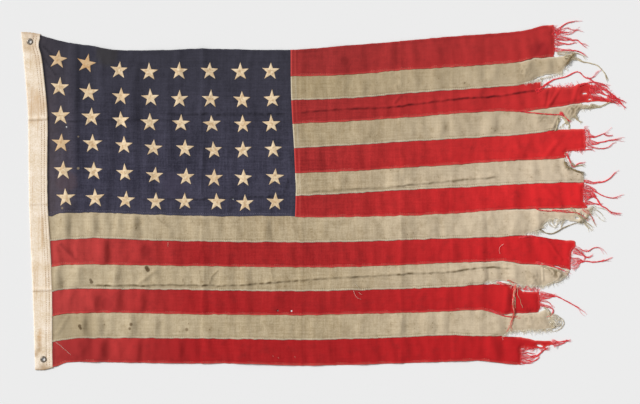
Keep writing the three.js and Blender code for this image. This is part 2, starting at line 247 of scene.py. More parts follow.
# Long pressed creases: a flap that rises to the line and drops below it. Just below each line the colour is
# darkened by a painted shade line, with a little soil in the crease.
creaseShape = {"start": 40, "end": 30, "wander": 2.2, "fray": 1.1, "curve": 1.6, "shadeAt": -1,
               "shadeHalf": 2.8}
pressed = {
    "topStripe3": {"rise": 3.0, "reach": 16, "drop": 3, "paintedShade": 0.9,
                   "line": [(757, -226), (912, -214), (1041, -208), (1144, -195), (1200, -187), (1329, -178),
                            (1450, -161)]},
    "lowStripe6": {"rise": 2.2, "reach": 16, "drop": 3.5, "paintedShade": 0.7,
                   "line": [(785, -448), (940, -437), (1046, -431), (1144, -421), (1195, -415),
                            (1340, -404)]},
    "stripe10": {"rise": 2.4, "reach": 15, "drop": 3, "paintedShade": 1.0,
                 "line": [(170, -703), (240, -708), (444, -706), (590, -708), (710, -699), (836, -690),
                          (946, -683), (1074, -676), (1200, -669), (1301, -657), (1382, -661)]},
    "cantonMiddle": {"rise": 1.3, "reach": 10, "drop": 3, "paintedShade": 0.85,
                     "line": [(380, -228), (520, -228), (640, -229), (756, -228)]},
    "cantonFoot": {"rise": 1.0, "reach": 9, "drop": 3, "paintedShade": 0.7,
                   "line": [(330, -468), (500, -466), (640, -461), (750, -457)]},
    "cantonTop": {"rise": 0.5, "reach": 12, "drop": 4, "paintedShade": 0.2,
                  "line": [(300, -84), (520, -82), (752, -84)]},
}

# Short soft folds near the torn end and on the lower stripes. Each has its height (a trough is below
# nought), its half width and how much painted shade darkens it along the fold, then the points of its line.
shortFolds = [
    (-1.6, 7, 0, (1478, -156), (1468, -212)), (2.2, 8, 0, (1508, -156), (1476, -208)),
    (1.8, 9, 0, (1556, -148), (1544, -200)), (1.6, 8, 0, (1448, -216), (1490, -262)),
    (1.6, 6, 0, (1502, -236), (1482, -280)), (2, 12, 0, (1497, -310), (1466, -350)),
    (1.2, 12, 0, (1390, -322), (1430, -352)), (2, 12, 0, (1455, -426), (1510, -486)),
    (1.2, 14, 0, (1400, -432), (1420, -490)), (-1.2, 12, 0, (1462, -38), (1436, -72)),
    (3, 6, 0, (1466, -574), (1512, -636)), (2.4, 5, 0, (1458, -652), (1461, -694)),
    (1.4, 10, 0, (1420, -684), (1450, -712)), (-1.2, 7, 0, (1376, -712), (1368, -786)),
    (1.4, 9, 0, (1360, -716), (1352, -780)), (1.5, 8, 0, (1398, -846), (1420, -880)),
    (1.1, 12, 0, (1412, -776), (1430, -830)), (1.1, 7, 0, (517, -662), (548, -684), (598, -714)),
    (0.9, 6, 0, (560, -668), (590, -700)), (0.9, 6, 0, (480, -680), (512, -704)),
    (0.8, 6, 0, (100, -870), (164, -920)), (2.4, 7, 0.2, (1050, -150), (1060, -178), (1046, -196)),
    (1.8, 6, 0.6, (58, -36), (84, -62), (112, -84)), (1.4, 5, 0.5, (58, -64), (76, -92), (96, -120)),
    (1.3, 6, 0.5, (132, -250), (220, -246), (300, -248)),
    (1.1, 6, 0.4, (300, -247), (360, -243), (424, -247)),
    (1.2, 12, 0, (210, -40), (226, -90), (222, -140)), (1.2, 14, 0, (330, -60), (322, -120), (336, -200)),
    (1.2, 12, 0, (120, -330), (128, -420), (122, -500)),
    (1.2, 5, 0.5, (503, -222), (510, -340), (504, -455)), (1.2, 5, 0.45, (748, -412), (736, -448)),
    (1, 12, 0, (440, -60), (446, -130), (440, -210)), (1, 14, 0, (640, -60), (632, -150), (640, -210)),
    (1.2, 14, 0, (212, -300), (220, -400), (214, -500)), (0.9, 5, 0, (740, -408), (756, -392)),
    (1.2, 10, 0, (96, -600), (110, -650)), (2.6, 11, 0.35, (111, -593), (150, -634)),
    (0.9, 5, 0.35, (396, -520), (410, -545)), (1, 5, 0.5, (452, -690), (458, -708)),
    (1.2, 5, 0.5, (500, -668), (505, -708)), (1.3, 5, 0.6, (552, -666), (534, -684), (528, -704)),
    (1, 5, 0.5, (700, -664), (708, -700)), (1.8, 11, 0, (103, -842), (131, -796)),
    (1.8, 10, 0.35, (332, -703), (374, -670)), (1.6, 12, 0, (270, -524), (262, -566)),
    (2.2, 14, 0, (322, -522), (330, -560)), (1, 5, 0.4, (380, -520), (404, -540)),
    (0.8, 4, 0.3, (350, -510), (362, -530)), (1, 9, 0, (150, -596), (158, -640)),
    (0.9, 10, 0, (200, -740), (206, -780)), (1.1, 9, 0, (120, -740), (130, -782)),
    (1, 10, 0, (1290, -520), (1300, -566)), (0.8, 9, 0, (1180, -524), (1186, -570)),
]


# The box that a short fold keeps within
def foldBox(half, line):
    xs, ys = zip(*line)
    return min(xs) - half, max(xs) + half, min(ys) - half, max(ys) + half


boxedFolds = [(lift, half, shade, line, foldBox(half, line)) for lift, half, shade, *line in shortFolds]

# Places near the torn end where the cloth is crushed into small wrinkles: centre, reach, height and how much
# painted shade darkens the troughs between the wrinkles
crushed = [
    (1536, -80, 28, 2.4, 0.9), (1400, -108, 40, 1.2, 0.3), (1548, -214, 36, 2.6, 0.8),
    (1460, -240, 34, 1.4, 0.4), (1532, -378, 24, 2.2, 0.9), (1598, -500, 26, 2.2, 0.8),
    (1480, -546, 34, 2, 0.5), (1502, -672, 36, 2.6, 0.9), (1440, -690, 36, 1.6, 0.3),
    (1492, -812, 34, 2.6, 0.6), (1424, -790, 34, 1.8, 0.5), (1666, -192, 30, 2, 0.3),
]
crushPitch = (10, 13)


def distanceToLine(x, y, line):
    best = 1e9
    for (ax, ay), (bx, by) in zip(line, line[1:]):
        dx = bx - ax
        dy = by - ay
        t = min(1, max(0, ((x - ax) * dx + (y - ay) * dy) / (dx * dx + dy * dy)))
        best = min(best, math.hypot(x - ax - t * dx, y - ay - t * dy))
    return best


def ridge(away, half):
    return math.cos(away / half * math.pi / 2) ** 2 if away < half else 0


def pressedHeight(crease, x, y):
    line, rise, reach, drop = crease["line"], crease["rise"], crease["reach"], crease["drop"]
    starts = smoothStep(x, line[0][0], line[0][0] + creaseShape["start"])
    ends = min(starts, 1 - smoothStep(x, line[-1][0] - creaseShape["end"], line[-1][0]))
    if ends <= 0:
        return 0, 0
    above = y - yAt(line, x) + creaseShape["wander"] * perlin(x / 24, 1.3, 4.4)
    above += creaseShape["fray"] * perlin(x / 8, 6.3, 4.4)
    if above > reach or above < -3 * drop:
        return 0, 0
    strength = ends * max(0.2, 0.85 + 0.8 * perlin(x / 52, 0.3, 5.1))
    broken = min(1, max(0.25, 0.75 + 1.9 * perlin(x / 13, 2.2, 8.1)))
    # painted shade line along the crease, broken and uneven
    shadeAndSoilMark = crease["paintedShade"] * strength * broken
    shadeAndSoilMark *= softLine(above - creaseShape["shadeAt"], creaseShape["shadeHalf"])
    if above >= 0:
        return rise * strength * (1 - above / reach) ** creaseShape["curve"], shadeAndSoilMark
    return rise * strength * max(0, 1 + above / drop), shadeAndSoilMark


# Height of the top face, and the painted shade that pressed creases, short folds and crushed wrinkles put on
# it
def clothSurface(x, y):
    flat = smoothStep(x, *cloth["flatHoist"]) * (1 - smoothStep(x, *cloth["flatFly"]))
    waveX, waveY = cloth["waveLength"]
    wave = math.sin(x / waveX) * math.sin((y + cloth["waveLean"] * x) / waveY)
    main = max(0, cloth["waveHeight"] * wave)
    for at, lift, drop in folds:
        past = x - at - foldShape["wander"] * perlin(y / 70, at, 1.7)
        strength = lift * (0.9 + 0.7 * perlin(y / 38, at, 5.2))
        if -foldShape["rise"] < past <= 0:
            main += strength * smoothStep(past, -foldShape["rise"], 0)
        elif 0 < past < drop:
            main += strength * (1 - past / drop) ** foldShape["fall"]
    (pitchX, pitchY), (fineX, fineY) = cloth["ripplePitch"], cloth["finePitch"]
    ripple = perlin(x / pitchX, y / pitchY, 2.2) + 0.5 * perlin(x / fineX, y / fineY, 7.4)
    ripple *= 1 + cloth["hoistRipple"] * (1 - smoothStep(x, *cloth["hoistSide"]))
    least = cloth["headingRipple"]
    height = main * flat + cloth["rest"]
    height += cloth["rippleHeight"] * ripple * (least + (1 - least) * smoothStep(x, *cloth["headingSide"]))
    crumpleX, crumpleY = cloth["crumplePitch"]
    height += cloth["crumpleHeight"] * perlin(x / crumpleX, y / crumpleY, 9.1)
    paintedShade = 0
    for crease in pressed.values():
        lift, shadeAndSoilMark = pressedHeight(crease, x, y)
        height += lift
        paintedShade = max(paintedShade, shadeAndSoilMark)
    for lift, half, shade, line, (left, right, low, high) in boxedFolds:
        if left < x < right and low < y < high:
            away = distanceToLine(x, y, line)
            height += lift * ridge(away, half)
            # painted shade along the short fold
            paintedShade = max(paintedShade, shade * ridge(away, 0.7 * half))
    for centreX, centreY, reach, lift, shade in crushed:
        away = math.hypot(x - centreX, y - centreY) / reach
        if away < 1:
            wrinkle = max(0, 1 - abs(3 * perlin(x / crushPitch[0], y / crushPitch[1], centreX)))
            height += lift * ridge(away, 1) * wrinkle
            # painted shade in the troughs between the wrinkles
            paintedShade = max(paintedShade, shade * ridge(away, 1) * (1 - wrinkle))
    return cloth["lie"] + max(cloth["sink"], height), paintedShade


# Lowest the top face of panel `number` may lie
def lowest(number):
    return cloth["lie"] + (cloth["sink"] if number else cloth["overStar"])


# The upper and lower edge of panel `number` (0 is the canton)
def edgesOf(number, x):
    return edgeAt(max(0, number - 1), x), edgeAt(number or 7, x)


# Height of a panel: the common folds and its own bulges
def panelHeight(number, x, y):
    top, bottom = edgesOf(number, x)
    height, paintedShade = clothSurface(x, y)
    height += bulgeHeight(number, x, y, (top - y) / (top - bottom))
    return max(lowest(number), height), paintedShade


# sRGB hex to linear
def hexColour(text):
    channels = [int(text[i:i + 2], 16) / 255 for i in (0, 2, 4)]
    linear = [c / 12.92 if c <= 0.04045 else ((c + 0.055) / 1.055) ** 2.4 for c in channels]
    return (*linear, 1)


# Adds a shader node, sets what is given by name, and links each input that is a node or a socket. A map
# range node takes its value, from min, from max, to min and to max as inputs 0 to 4.
def addNode(tree, kind, inputs, **settings):
    made = tree.nodes.new("ShaderNode" + kind)
    for key, value in settings.items():
        setattr(made, key, value)
    for key, value in inputs.items():
        if isinstance(value, bpy.types.Node):
            value = next(output for output in value.outputs if output.enabled)
        if isinstance(value, bpy.types.NodeSocket):
            tree.links.new(value, made.inputs[key])
        else:
            made.inputs[key].default_value = value
    return made


# A new material, its node tree and the place on the object
def newMaterial(name):
    material = bpy.data.materials.new(name)
    material.use_nodes = True
    tree = material.node_tree
    tree.nodes.clear()
    return material, tree, addNode(tree, "TexCoord", {}).outputs["Object"]


# Lays each coat of colour over the last, as much as its factor says, then adds the relief and the shader
def finishMaterial(tree, base, coats, relief, look):
    colour = hexColour(base)
    for factor, coat in coats:
        colour = addNode(tree, "Mix", {0: factor, 6: colour, 7: hexColour(coat)}, data_type="RGBA")
    look = {"Base Color": colour, **look}
    if relief:
        look["Normal"] = addNode(tree, "Bump", relief)
    shader = addNode(tree, "BsdfPrincipled", look)
    addNode(tree, "OutputMaterial", {"Surface": shader})


# A coat for each stain: ragged by `cloud`, full inside `inner` of its radius and gone past `outer`
def stainCoats(tree, where, spots, cloud, ragged, outer, inner):
    flatWhere = addNode(tree, "Mapping", {"Vector": where, "Scale": (1, 1, 0)})
    coats = []
    for x, y, radius, strength, colour in spots:
        reach = radius * mm
        wobble = addNode(tree, "Math", {0: cloud, 1: ragged * reach}, operation="MULTIPLY")
        away = addNode(tree, "VectorMath", {0: flatWhere, 1: placed(x, y, 0)}, operation="DISTANCE")
        total = addNode(tree, "Math", {0: away, 1: wobble}, operation="ADD")
        spread = addNode(tree, "MapRange", {0: total, 1: outer * reach, 2: inner * reach, 4: strength})
        coats.append((spread, colour))
    return coats


# Plain-woven wool bunting, piece-dyed and long weathered: matt and dry, a little fuzz at grazing angles,
# yarn streaks both ways, cloudy fading, soil in the weave, and painted shade along pressed creases, folds,
# wrinkles and seam bands, drawn in the crease colour that also colours the specks of dirt.
# Its yarns are about 1 mm apart; the weave is drawn at 2.4 mm, because the real one is finer than the render.
# The fades are, in turn, the fly end that hung in the sun, the foot, the paler hoist end (on the red a
# painted highlight) and the top: along which axis, from and to which place in metres, how much, and what
# colour.
weavePitch = 2.4
bunting = {
    "red": {
        "name": "red wool bunting, plain weave", "pale": "B53130", "deep": "8A1D1F", "soil": "701F20",
        "soilMix": 0.3, "crease": "5C1418", "specks": 0.25, "rubbed": "E2554E", "rub": 0.85,
        "fades": [("X", 0, 0.76, 0.85, "E8262A"), ("Y", 0.05, -0.4, 0.62, "AA1118"),
                  # the third fade, paler and greyer towards the hoist, is a painted highlight
                  ("X", -0.36, -0.8, 0.68, "C04C47"), ("Y", 0.05, 0.42, 0.55, "8E3230")],
    },
    "white": {
        "name": "white wool bunting, yellowed plain weave", "pale": "C6B597", "deep": "9C896A",
        "soil": "86714F", "soilMix": 0.44, "crease": "6A583C", "specks": 0.7, "rubbed": "E2D8C2", "rub": 0.75,
        "fades": [("X", 0, 0.76, 0.66, "E3D1BA"), ("Y", 0.05, -0.4, 0.1, "BAA884"),
                  ("X", -0.15, -0.8, 0.45, "CABB9E"), ("Y", 0.05, 0.42, 0.5, "98865F")],
    },
    "blue": {
        "name": "navy wool bunting, faded plain weave", "pale": "484657", "deep": "282735", "soil": "1F1D28",
        "soilMix": 0.35, "crease": "121118", "specks": 0.3, "rubbed": "6A687C", "rub": 0.5,
        "fades": [("X", 0, 0.76, 0.4, "343342"), ("Y", 0.05, -0.4, 0.65, "4E4C5A"),
                  ("X", -0.68, -0.8, 0.7, "66595A"), ("Y", 0.05, 0.42, 0.75, "37363E")],
    },
}
# Stains: centre, radius, strength and colour
stainSpots = {
    "white": [
        (150, -815, 66, 0.38, "8C7B5C"), (197, -699, 5, 0.8, "57452E"), (194, -693, 4, 0.7, "57452E"),
        (351, -659, 6, 0.9, "57452E"), (354, -665, 6, 0.9, "57452E"), (164, -822, 5.5, 0.85, "57452E"),
        (167, -828, 4.5, 0.85, "57452E"), (308, -817, 4.5, 0.8, "6A553A"), (304, -829, 4, 0.75, "6A553A"),
        (463, -832, 5, 0.7, "6A553A"), (842, -118, 7, 0.5, "75623F"), (1010, -92, 11, 0.5, "8A7450"),
        (1094, -86, 8, 0.5, "6F5B3C"), (1310, -72, 9, 0.6, "6F5B3C"), (1190, -208, 9, 0.5, "7C6845"),
        (1120, -226, 8, 0.4, "7C6845"),
    ],
    "red": [
        (170, -900, 74, 0.5, "86181C"), (420, -905, 80, 0.3, "8E181C"), (905, -80, 12, 0.4, "78201F"),
        (1452, -50, 26, 0.5, "8A1C22"), (350, -610, 16, 0.35, "7C1A1E"), (240, -760, 18, 0.35, "7C1A1E"),
    ],
    "blue": [
        (160, -292, 3, 0.8, "8A7C68"), (160, -381, 3.5, 0.85, "9A8A70"), (115, -492, 3, 0.8, "8A7C68"),
        (240, -60, 34, 0.5, "3E3B38"), (126, -420, 30, 0.35, "5A4648"), (430, -430, 40, 0.5, "433E50"),
    ],
}


def makeBunting(key):
    look = bunting[key]
    material, tree, where = newMaterial(look["name"])
    axes = addNode(tree, "SeparateXYZ", {"Vector": where}).outputs
    total = addNode(tree, "TexNoise", {"Vector": where, "Scale": 260, "Detail": 2})
    clouds = addNode(tree, "TexNoise", {"Vector": where, "Scale": 7, "Detail": 5, "Roughness": 0.62})
    blotch = addNode(tree, "TexNoise", {"Vector": where, "Scale": 34, "Detail": 6, "Roughness": 0.7})
    for scale in ((14, 200, 1), (200, 14, 1)):
        mapped = addNode(tree, "Mapping", {"Vector": where, "Scale": scale})
        yarn = addNode(tree, "TexNoise", {"Vector": mapped, "Scale": 1, "Detail": 3, "Roughness": 0.6})
        total = addNode(tree, "Math", {0: yarn, 1: total}, operation="ADD")
    relief = total
    total = addNode(tree, "Math", {0: total, 1: clouds}, operation="ADD")
    coats = [(addNode(tree, "MapRange", {0: total, 1: 1.58, 2: 2.42}), look["pale"])]
    for axis, start, end, strength, colour in look["fades"]:
        fade = addNode(tree, "MapRange", {0: axes[axis], 1: start, 2: end, 4: strength})
        coats.append((fade, colour))
    soiled = addNode(tree, "MapRange", {0: blotch, 1: 0.5, 2: 0.72, 4: look["soilMix"]})
    coats.append((soiled, look["soil"]))
    coats += stainCoats(tree, where, stainSpots[key], blotch, 1.2, 1.8, 1.3)
    # tight specks of dirt caught in the yarn, painted shade (with a little soil) along pressed creases,
    # folds, wrinkles and seams, and seam and torn edges rubbed pale
    specks = addNode(tree, "TexNoise", {"Vector": where, "Scale": 170, "Detail": 1})
    patchy = addNode(tree, "Math", {0: specks, 1: blotch}, operation="ADD")
    specked = addNode(tree, "MapRange", {0: patchy, 1: 1.27, 2: 1.38, 4: look["specks"]})
    # painted shade from creases, folds, wrinkles and seams, with a little soil in the pressed creases
    shadeAndSoilMark = addNode(tree, "Attribute", {}, attribute_name="shadeAndSoilMark").outputs["Fac"]
    wear = addNode(tree, "Attribute", {}, attribute_name="wear").outputs["Fac"]
    rubbed = addNode(tree, "Math", {0: wear, 1: look["rub"]}, operation="MULTIPLY")
    coats += [(specked, look["crease"]), (shadeAndSoilMark, look["crease"]), (rubbed, look["rubbed"])]
    for direction in ("X", "Y"):
        # a band repeats every 2 pi / (20 * scale) metres
        scale = math.pi / (10 * weavePitch * mm)
        bands = addNode(tree, "TexWave", {"Vector": where, "Scale": scale, "Distortion": 0.6},
                        bands_direction=direction)
        relief = addNode(tree, "Math", {0: bands.outputs["Fac"], 1: relief}, operation="ADD")
    finishMaterial(tree, look["deep"], coats, {"Height": relief, "Strength": 0.35, "Distance": 0.0004},
                   {"Roughness": 0.92, "Specular IOR Level": 0.12, "Sheen Weight": 0.04,
                    "Sheen Roughness": 0.6})
    return material


# Loose worsted yarn and lint: soft, matt, unevenly dyed where the sun reached it
yarnLooks = {
    "red yarn, frayed worsted": ("F8484F", "D82A33"),
    "tan yarn, frayed worsted": ("DACDB0", "B4A27C"),
    "pale wool lint": ("F2ECE0", "D6CAB0"),
    "seam thread, tan cotton": ("DC7A68", "B84840"),
    "seam thread, soiled cotton": ("AE9C78", "887856"),
    "heading thread, cream cotton": ("C6A680", "A08058"),
    "seam thread, faded navy cotton": ("7E7A8C", "5C5868"),
    "tan yarn, rolled and soiled": ("B09C76", "867250"),
}


def makeYarn(name):
    pale, deep = yarnLooks[name]
    material, tree, where = newMaterial(name)
    tone = addNode(tree, "TexNoise", {"Vector": where, "Scale": 90, "Detail": 4})
    spread = addNode(tree, "MapRange", {0: tone, 1: 0.35, 2: 0.65})
    fibre = addNode(tree, "TexNoise", {"Vector": where, "Scale": 1400, "Detail": 2})
    finishMaterial(tree, deep, [(spread, pale)], {"Height": fibre, "Strength": 0.4, "Distance": 0.0003},
                   {"Roughness": 0.95, "Specular IOR Level": 0.15, "Sheen Weight": 0.2})
    return material


# Bleached cotton sheeting gone cream: smoother than the wool, a brown crumpled middle, a turned-in rim
# darkened with painted shade, a few rust stains
def makeStarCotton():
    material, tree, where = newMaterial("cotton sheeting, yellowed")
    tone = addNode(tree, "TexNoise", {"Vector": where, "Scale": 120, "Detail": 5, "Roughness": 0.6})
    wrinkle = addNode(tree, "TexNoise", {"Vector": where, "Scale": 160, "Detail": 6})
    spread = addNode(tree, "MapRange", {0: tone, 1: 0.36, 2: 0.66})
    creased = addNode(tree, "MapRange", {0: wrinkle, 1: 0.46, 2: 0.62, 4: 0.6})
    coats = [(spread, "F0DDBC")]
    # the rim colour is painted shade round each star's turned-in edge
    painted = (("middle", creased, "A8835A"), ("rim", 0.45, "8A6A4C"), ("rust", spread, "B98038"))
    for name, share, colour in painted:
        amount = addNode(tree, "Attribute", {}, attribute_name=name).outputs["Fac"]
        coats.append((addNode(tree, "Math", {0: amount, 1: share}, operation="MULTIPLY"), colour))
    finishMaterial(tree, "D2B48C", coats, {"Height": wrinkle, "Strength": 0.5, "Distance": 0.0006},
                   {"Roughness": 0.85, "Specular IOR Level": 0.25})
    return material


# Cotton duck, unbleached and handled: a firm plain weave, brown tide marks and rust round the eyelets
duck = {
    "pale": "FBEDDC", "deep": "DCC6A6", "streak": "BE935C", "crease": "A07A4C",
    "stains": [
        (34, -10, 26, 0.6, "A88660"), (24, -44, 30, 0.5, "BE9C72"), (44, -70, 24, 0.35, "C8A680"),
        (40, -200, 66, 0.62, "D0AC84"), (50, -890, 18, 0.45, "B4905E"), (40, -902, 14, 0.6, "A8845C"),
        (50, -886, 11, 0.6, "9C7A4E"), (51, -874, 10.5, 0.65, "A87C46"), (51, -863, 10, 0.65, "B0803F"),
        (51, -852, 9, 0.65, "B8843E"), (52, -842, 8, 0.6, "B8843E"), (53, -832, 7, 0.45, "BC8A46"),
        (60, -936, 22, 0.45, "8E6A44"), (54, -650, 44, 0.2, "D2AE7C"),
    ],
}


def makeCanvas():
    material, tree, where = newMaterial("cotton duck, stained")
    grain = addNode(tree, "TexNoise", {"Vector": where, "Scale": 300, "Detail": 3})
    clouds = addNode(tree, "TexNoise", {"Vector": where, "Scale": 26, "Detail": 6, "Roughness": 0.65})
    streakMap = addNode(tree, "Mapping", {"Vector": where, "Scale": (150, 6, 1)})
    streak = addNode(tree, "TexNoise", {"Vector": streakMap, "Scale": 1, "Detail": 4})
    total = addNode(tree, "Math", {0: grain, 1: clouds}, operation="ADD")
    relief = addNode(tree, "Math", {0: grain, 1: streak}, operation="ADD")
    coats = [(addNode(tree, "MapRange", {0: total, 1: 0.7, 2: 1.26}), duck["pale"]),
             (addNode(tree, "MapRange", {0: streak, 1: 0.55, 2: 0.72, 4: 0.5}), duck["streak"])]
    coats += stainCoats(tree, where, duck["stains"], clouds, 1.6, 1.7, 0.7)
    # the crease colour paints the shade of the creases, and darkens the stitch rows and cut ends
    shadeAndSoilMark = addNode(tree, "Attribute", {}, attribute_name="shadeAndSoilMark").outputs["Fac"]
    coats.append((shadeAndSoilMark, duck["crease"]))
    finishMaterial(tree, duck["deep"], coats, {"Height": relief, "Strength": 0.5, "Distance": 0.0005},
                   {"Roughness": 0.88, "Specular IOR Level": 0.25})
    return material


# Zinc-plated brass eyelet, dulled: a grey-brown film that comes and goes, uneven in its shine
def makeEyeletMetal():
    material, tree, where = newMaterial("plated brass, tarnished")
    film = addNode(tree, "TexNoise", {"Vector": where, "Scale": 260, "Detail": 6, "Roughness": 0.7})
    tone = addNode(tree, "MapRange", {0: film, 1: 0.38, 2: 0.62})
    rough = addNode(tree, "MapRange", {0: film, 1: 0.3, 2: 0.7, 3: 0.35, 4: 0.6})
    finishMaterial(tree, "6E6358", [(tone, "A49A8C")], {"Height": film, "Strength": 0.25, "Distance": 0.0002},
                   {"Metallic": 0.9, "Roughness": rough})
    return material


buntingMaterials = {key: makeBunting(key) for key in bunting}
yarnMaterials = [makeYarn(name) for name in yarnLooks]
starCotton = makeStarCotton()
canvas = makeCanvas()
eyeletMetal = makeEyeletMetal()
print("materials made")


def addPiece(name, mesh):
    piece = bpy.data.objects.new(name, mesh)
    bpy.context.collection.objects.link(piece)
    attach(piece, "root")
    return piece


def meshPiece(name, bm, material):
    mesh = bpy.data.meshes.new(name)
    for face in bm.faces:
        face.smooth = True
    bm.to_mesh(mesh)
    bm.free()
    mesh.materials.append(material)
    return addPiece(name, mesh)


def faceUp(bm):
    for face in bm.faces:
        if face.normal.z < 0:
            face.normal_flip()


def thicken(piece, thickness):
    solid = piece.modifiers.new("thickness", "SOLIDIFY")
    solid.thickness = thickness * mm
    solid.offset = -1
    solid.use_even_offset = False


# The torn end of each stripe, from its upper edge to its lower one
tornEnds = {
    1: [(1490, 34), (1494, -53), (1489, -78)],
    2: [(1545, -44), (1553, -62), (1548, -75), (1531, -89), (1518, -106), (1517, -114), (1466, -120),
        (1438, -131), (1410, -156)],
    3: [(1455, -123), (1457, -156), (1486, -153), (1539, -153), (1559, -144), (1581, -142), (1604, -148),
        (1622, -158), (1606, -166), (1592, -176), (1620, -180), (1648, -186), (1664, -196), (1640, -200),
        (1626, -212)],
    4: [(1559, -184), (1570, -201), (1606, -204), (1620, -207), (1592, -211), (1566, -215), (1553, -235),
        (1542, -240), (1527, -260), (1518, -246), (1510, -235), (1502, -260), (1494, -282)],
    5: [(1578, -263), (1580, -326), (1559, -333), (1525, -334), (1524, -363)],
    6: [(1522, -341), (1522, -371), (1542, -380), (1574, -394), (1576, -431)],
    7: [(1576, -408), (1573, -474), (1584, -485), (1583, -503)],
    8: [(1587, -481), (1596, -489), (1598, -503), (1586, -520), (1562, -533), (1536, -530), (1522, -525),
        (1508, -529), (1500, -523), (1488, -527), (1478, -525), (1470, -534), (1462, -540), (1460, -549),
        (1446, -556), (1419, -564), (1374, -582)],
    9: [(1544, -565), (1552, -590), (1551, -602), (1540, -615), (1537, -683)],
    10: [(1525, -643), (1536, -669), (1531, -681), (1513, -691), (1507, -699), (1466, -711), (1424, -715),
         (1396, -708), (1368, -698), (1340, -696), (1301, -701), (1273, -722)],
    11: [(1380, -694), (1394, -715), (1405, -726), (1419, -718), (1451, -725), (1452, -774),
         (1441, -800)],
    12: [(1452, -761), (1466, -772), (1478, -782), (1496, -792), (1507, -803), (1500, -812), (1505, -822),
         (1488, -832), (1468, -838), (1444, -837), (1426, -833), (1408, -839), (1368, -838), (1353, -851),
         (1340, -867)],
    13: [(1466, -845), (1493, -877), (1469, -886), (1399, -884), (1399, -923), (1399, -946)],
}
# The torn edge lies lower and paler over these rings of points: share of the height, and how worn
tornRings = ((0.3, 1), (0.45, 0.6), (0.62, 0.2), (0.78, 0), (0.9, 0))
tornShape = {"margin": 14, "past": 4, "lowest": 0.8, "frayX": (2.2, 3.1), "frayY": (1.3, 4.3),
             "hoist": 600, "above": 300, "below": -1300}

# Holes and slits worn through the cloth: centre, half length, half width and lean in degrees
holes = [
    (592, -467, 2.6, 2.2, 0), (127, -264, 2.6, 2.2, 0), (718.4, -780, 2.8, 2.4, 0),
    (756, -781, 2.6, 2.4, 0), (1578, -172, 7, 1.3, -8), (1592, -188, 6, 1.2, -10),
    (1572, -512, 6, 1.2, -24), (1556, -520, 5, 1.2, -16), (1496, -805, 5, 1.5, 20),
    (1490, -820, 6, 1.5, -20), (1476, -800, 4, 1.3, -30), (1501, -815, 4, 1.4, 10),
    (1482, -810, 4, 1.2, 40), (1519, -668, 7, 2.6, -20), (1501, -657, 10, 2.2, -12),
    (1478, -880, 12, 2.6, 12), (1452, -878, 9, 2.2, -10),
]
grid = {"step": 4.2, "tornStep": 2.3, "stripeRows": 28, "cantonRows": 104, "sideReach": 60}

# A felled seam: the panel above laps over the one below, in a band that stands proud. Each line along an
# edge has its offset, its half width and how dark it is, or how pale where it is a worn one. The dark lines
# are painted shade: along the raised bands' edges, under the lap at a stripe's top, and beside the heading.
seam = {
    "band": 6.5, "lap": 0.7, "fold": 2, "lift": 0.5, "tuck": 0.4, "pucker": 0.55, "puckerPitch": (8, 30),
    "puckerReach": 9, "sideBand": (12, 15), "foot": (7.1, 1.1, 0.2), "hem": (7.1, 1.1, 0.3),
    "head": (0, 1.5, 0.45), "side": (14.5, 1.4, 0.3), "stripeHeadingShadow": (1, 3.2, 0.9),
    "cantonHeadingShadow": (1, 5.0, 0.9), "wornFoot": (0, 3.0, 1), "wornSide": (0, 2.4, 0.8),
    "wornSideBand": (12, 2, 0.35),
}


def seamLine(kind, away):
    offset, half, strength = seam[kind]
    return strength * softLine(away - offset, half)


def bandLift(away):
    return seam["lift"] * (1 - smoothStep(away, seam["band"] - 1, seam["band"] + 1.5))


# The torn end closed round the rest of the stripe, for testing what is cloth
def tornOutline(number):
    torn = tornEnds[number]
    hoist, above, below = tornShape["hoist"], tornShape["above"], tornShape["below"]
    return [(hoist, above), (torn[0][0], above), *torn, (torn[-1][0], below), (hoist, below)]


def inOutline(x, y, outline):
    inside = False
    for (ax, ay), (bx, by) in zip(outline, outline[1:] + outline[:1]):
        if (ay > y) != (by > y) and x < ax + (y - ay) * (bx - ax) / (by - ay):
            inside = not inside
    return inside


def inHole(x, y):
    for holeX, holeY, length, width, lean in holes:
        if max(abs(x - holeX), abs(y - holeY)) > length + 2:
            continue
        turn = math.radians(lean)
        along = (x - holeX) * math.cos(turn) + (y - holeY) * math.sin(turn)
        side = (y - holeY) * math.cos(turn) - (x - holeX) * math.sin(turn)
        if (along / length) ** 2 + (side / width) ** 2 < 1 + 0.4 * perlin(x / 2, y / 2, 4):
            return True
    return False


# Columns of a panel: even, and closer together where the cloth is torn
def columnPlaces(start, tornFrom, end):
    places = [start]
    while places[-1] < end:
        places.append(places[-1] + (grid["step"] if places[-1] < tornFrom else grid["tornStep"]))
    return places


def clothHoist(y):
    return xAt(headingInner, y) - 1


def cantonEdge(y):
    return xAt(cantonFly, y)


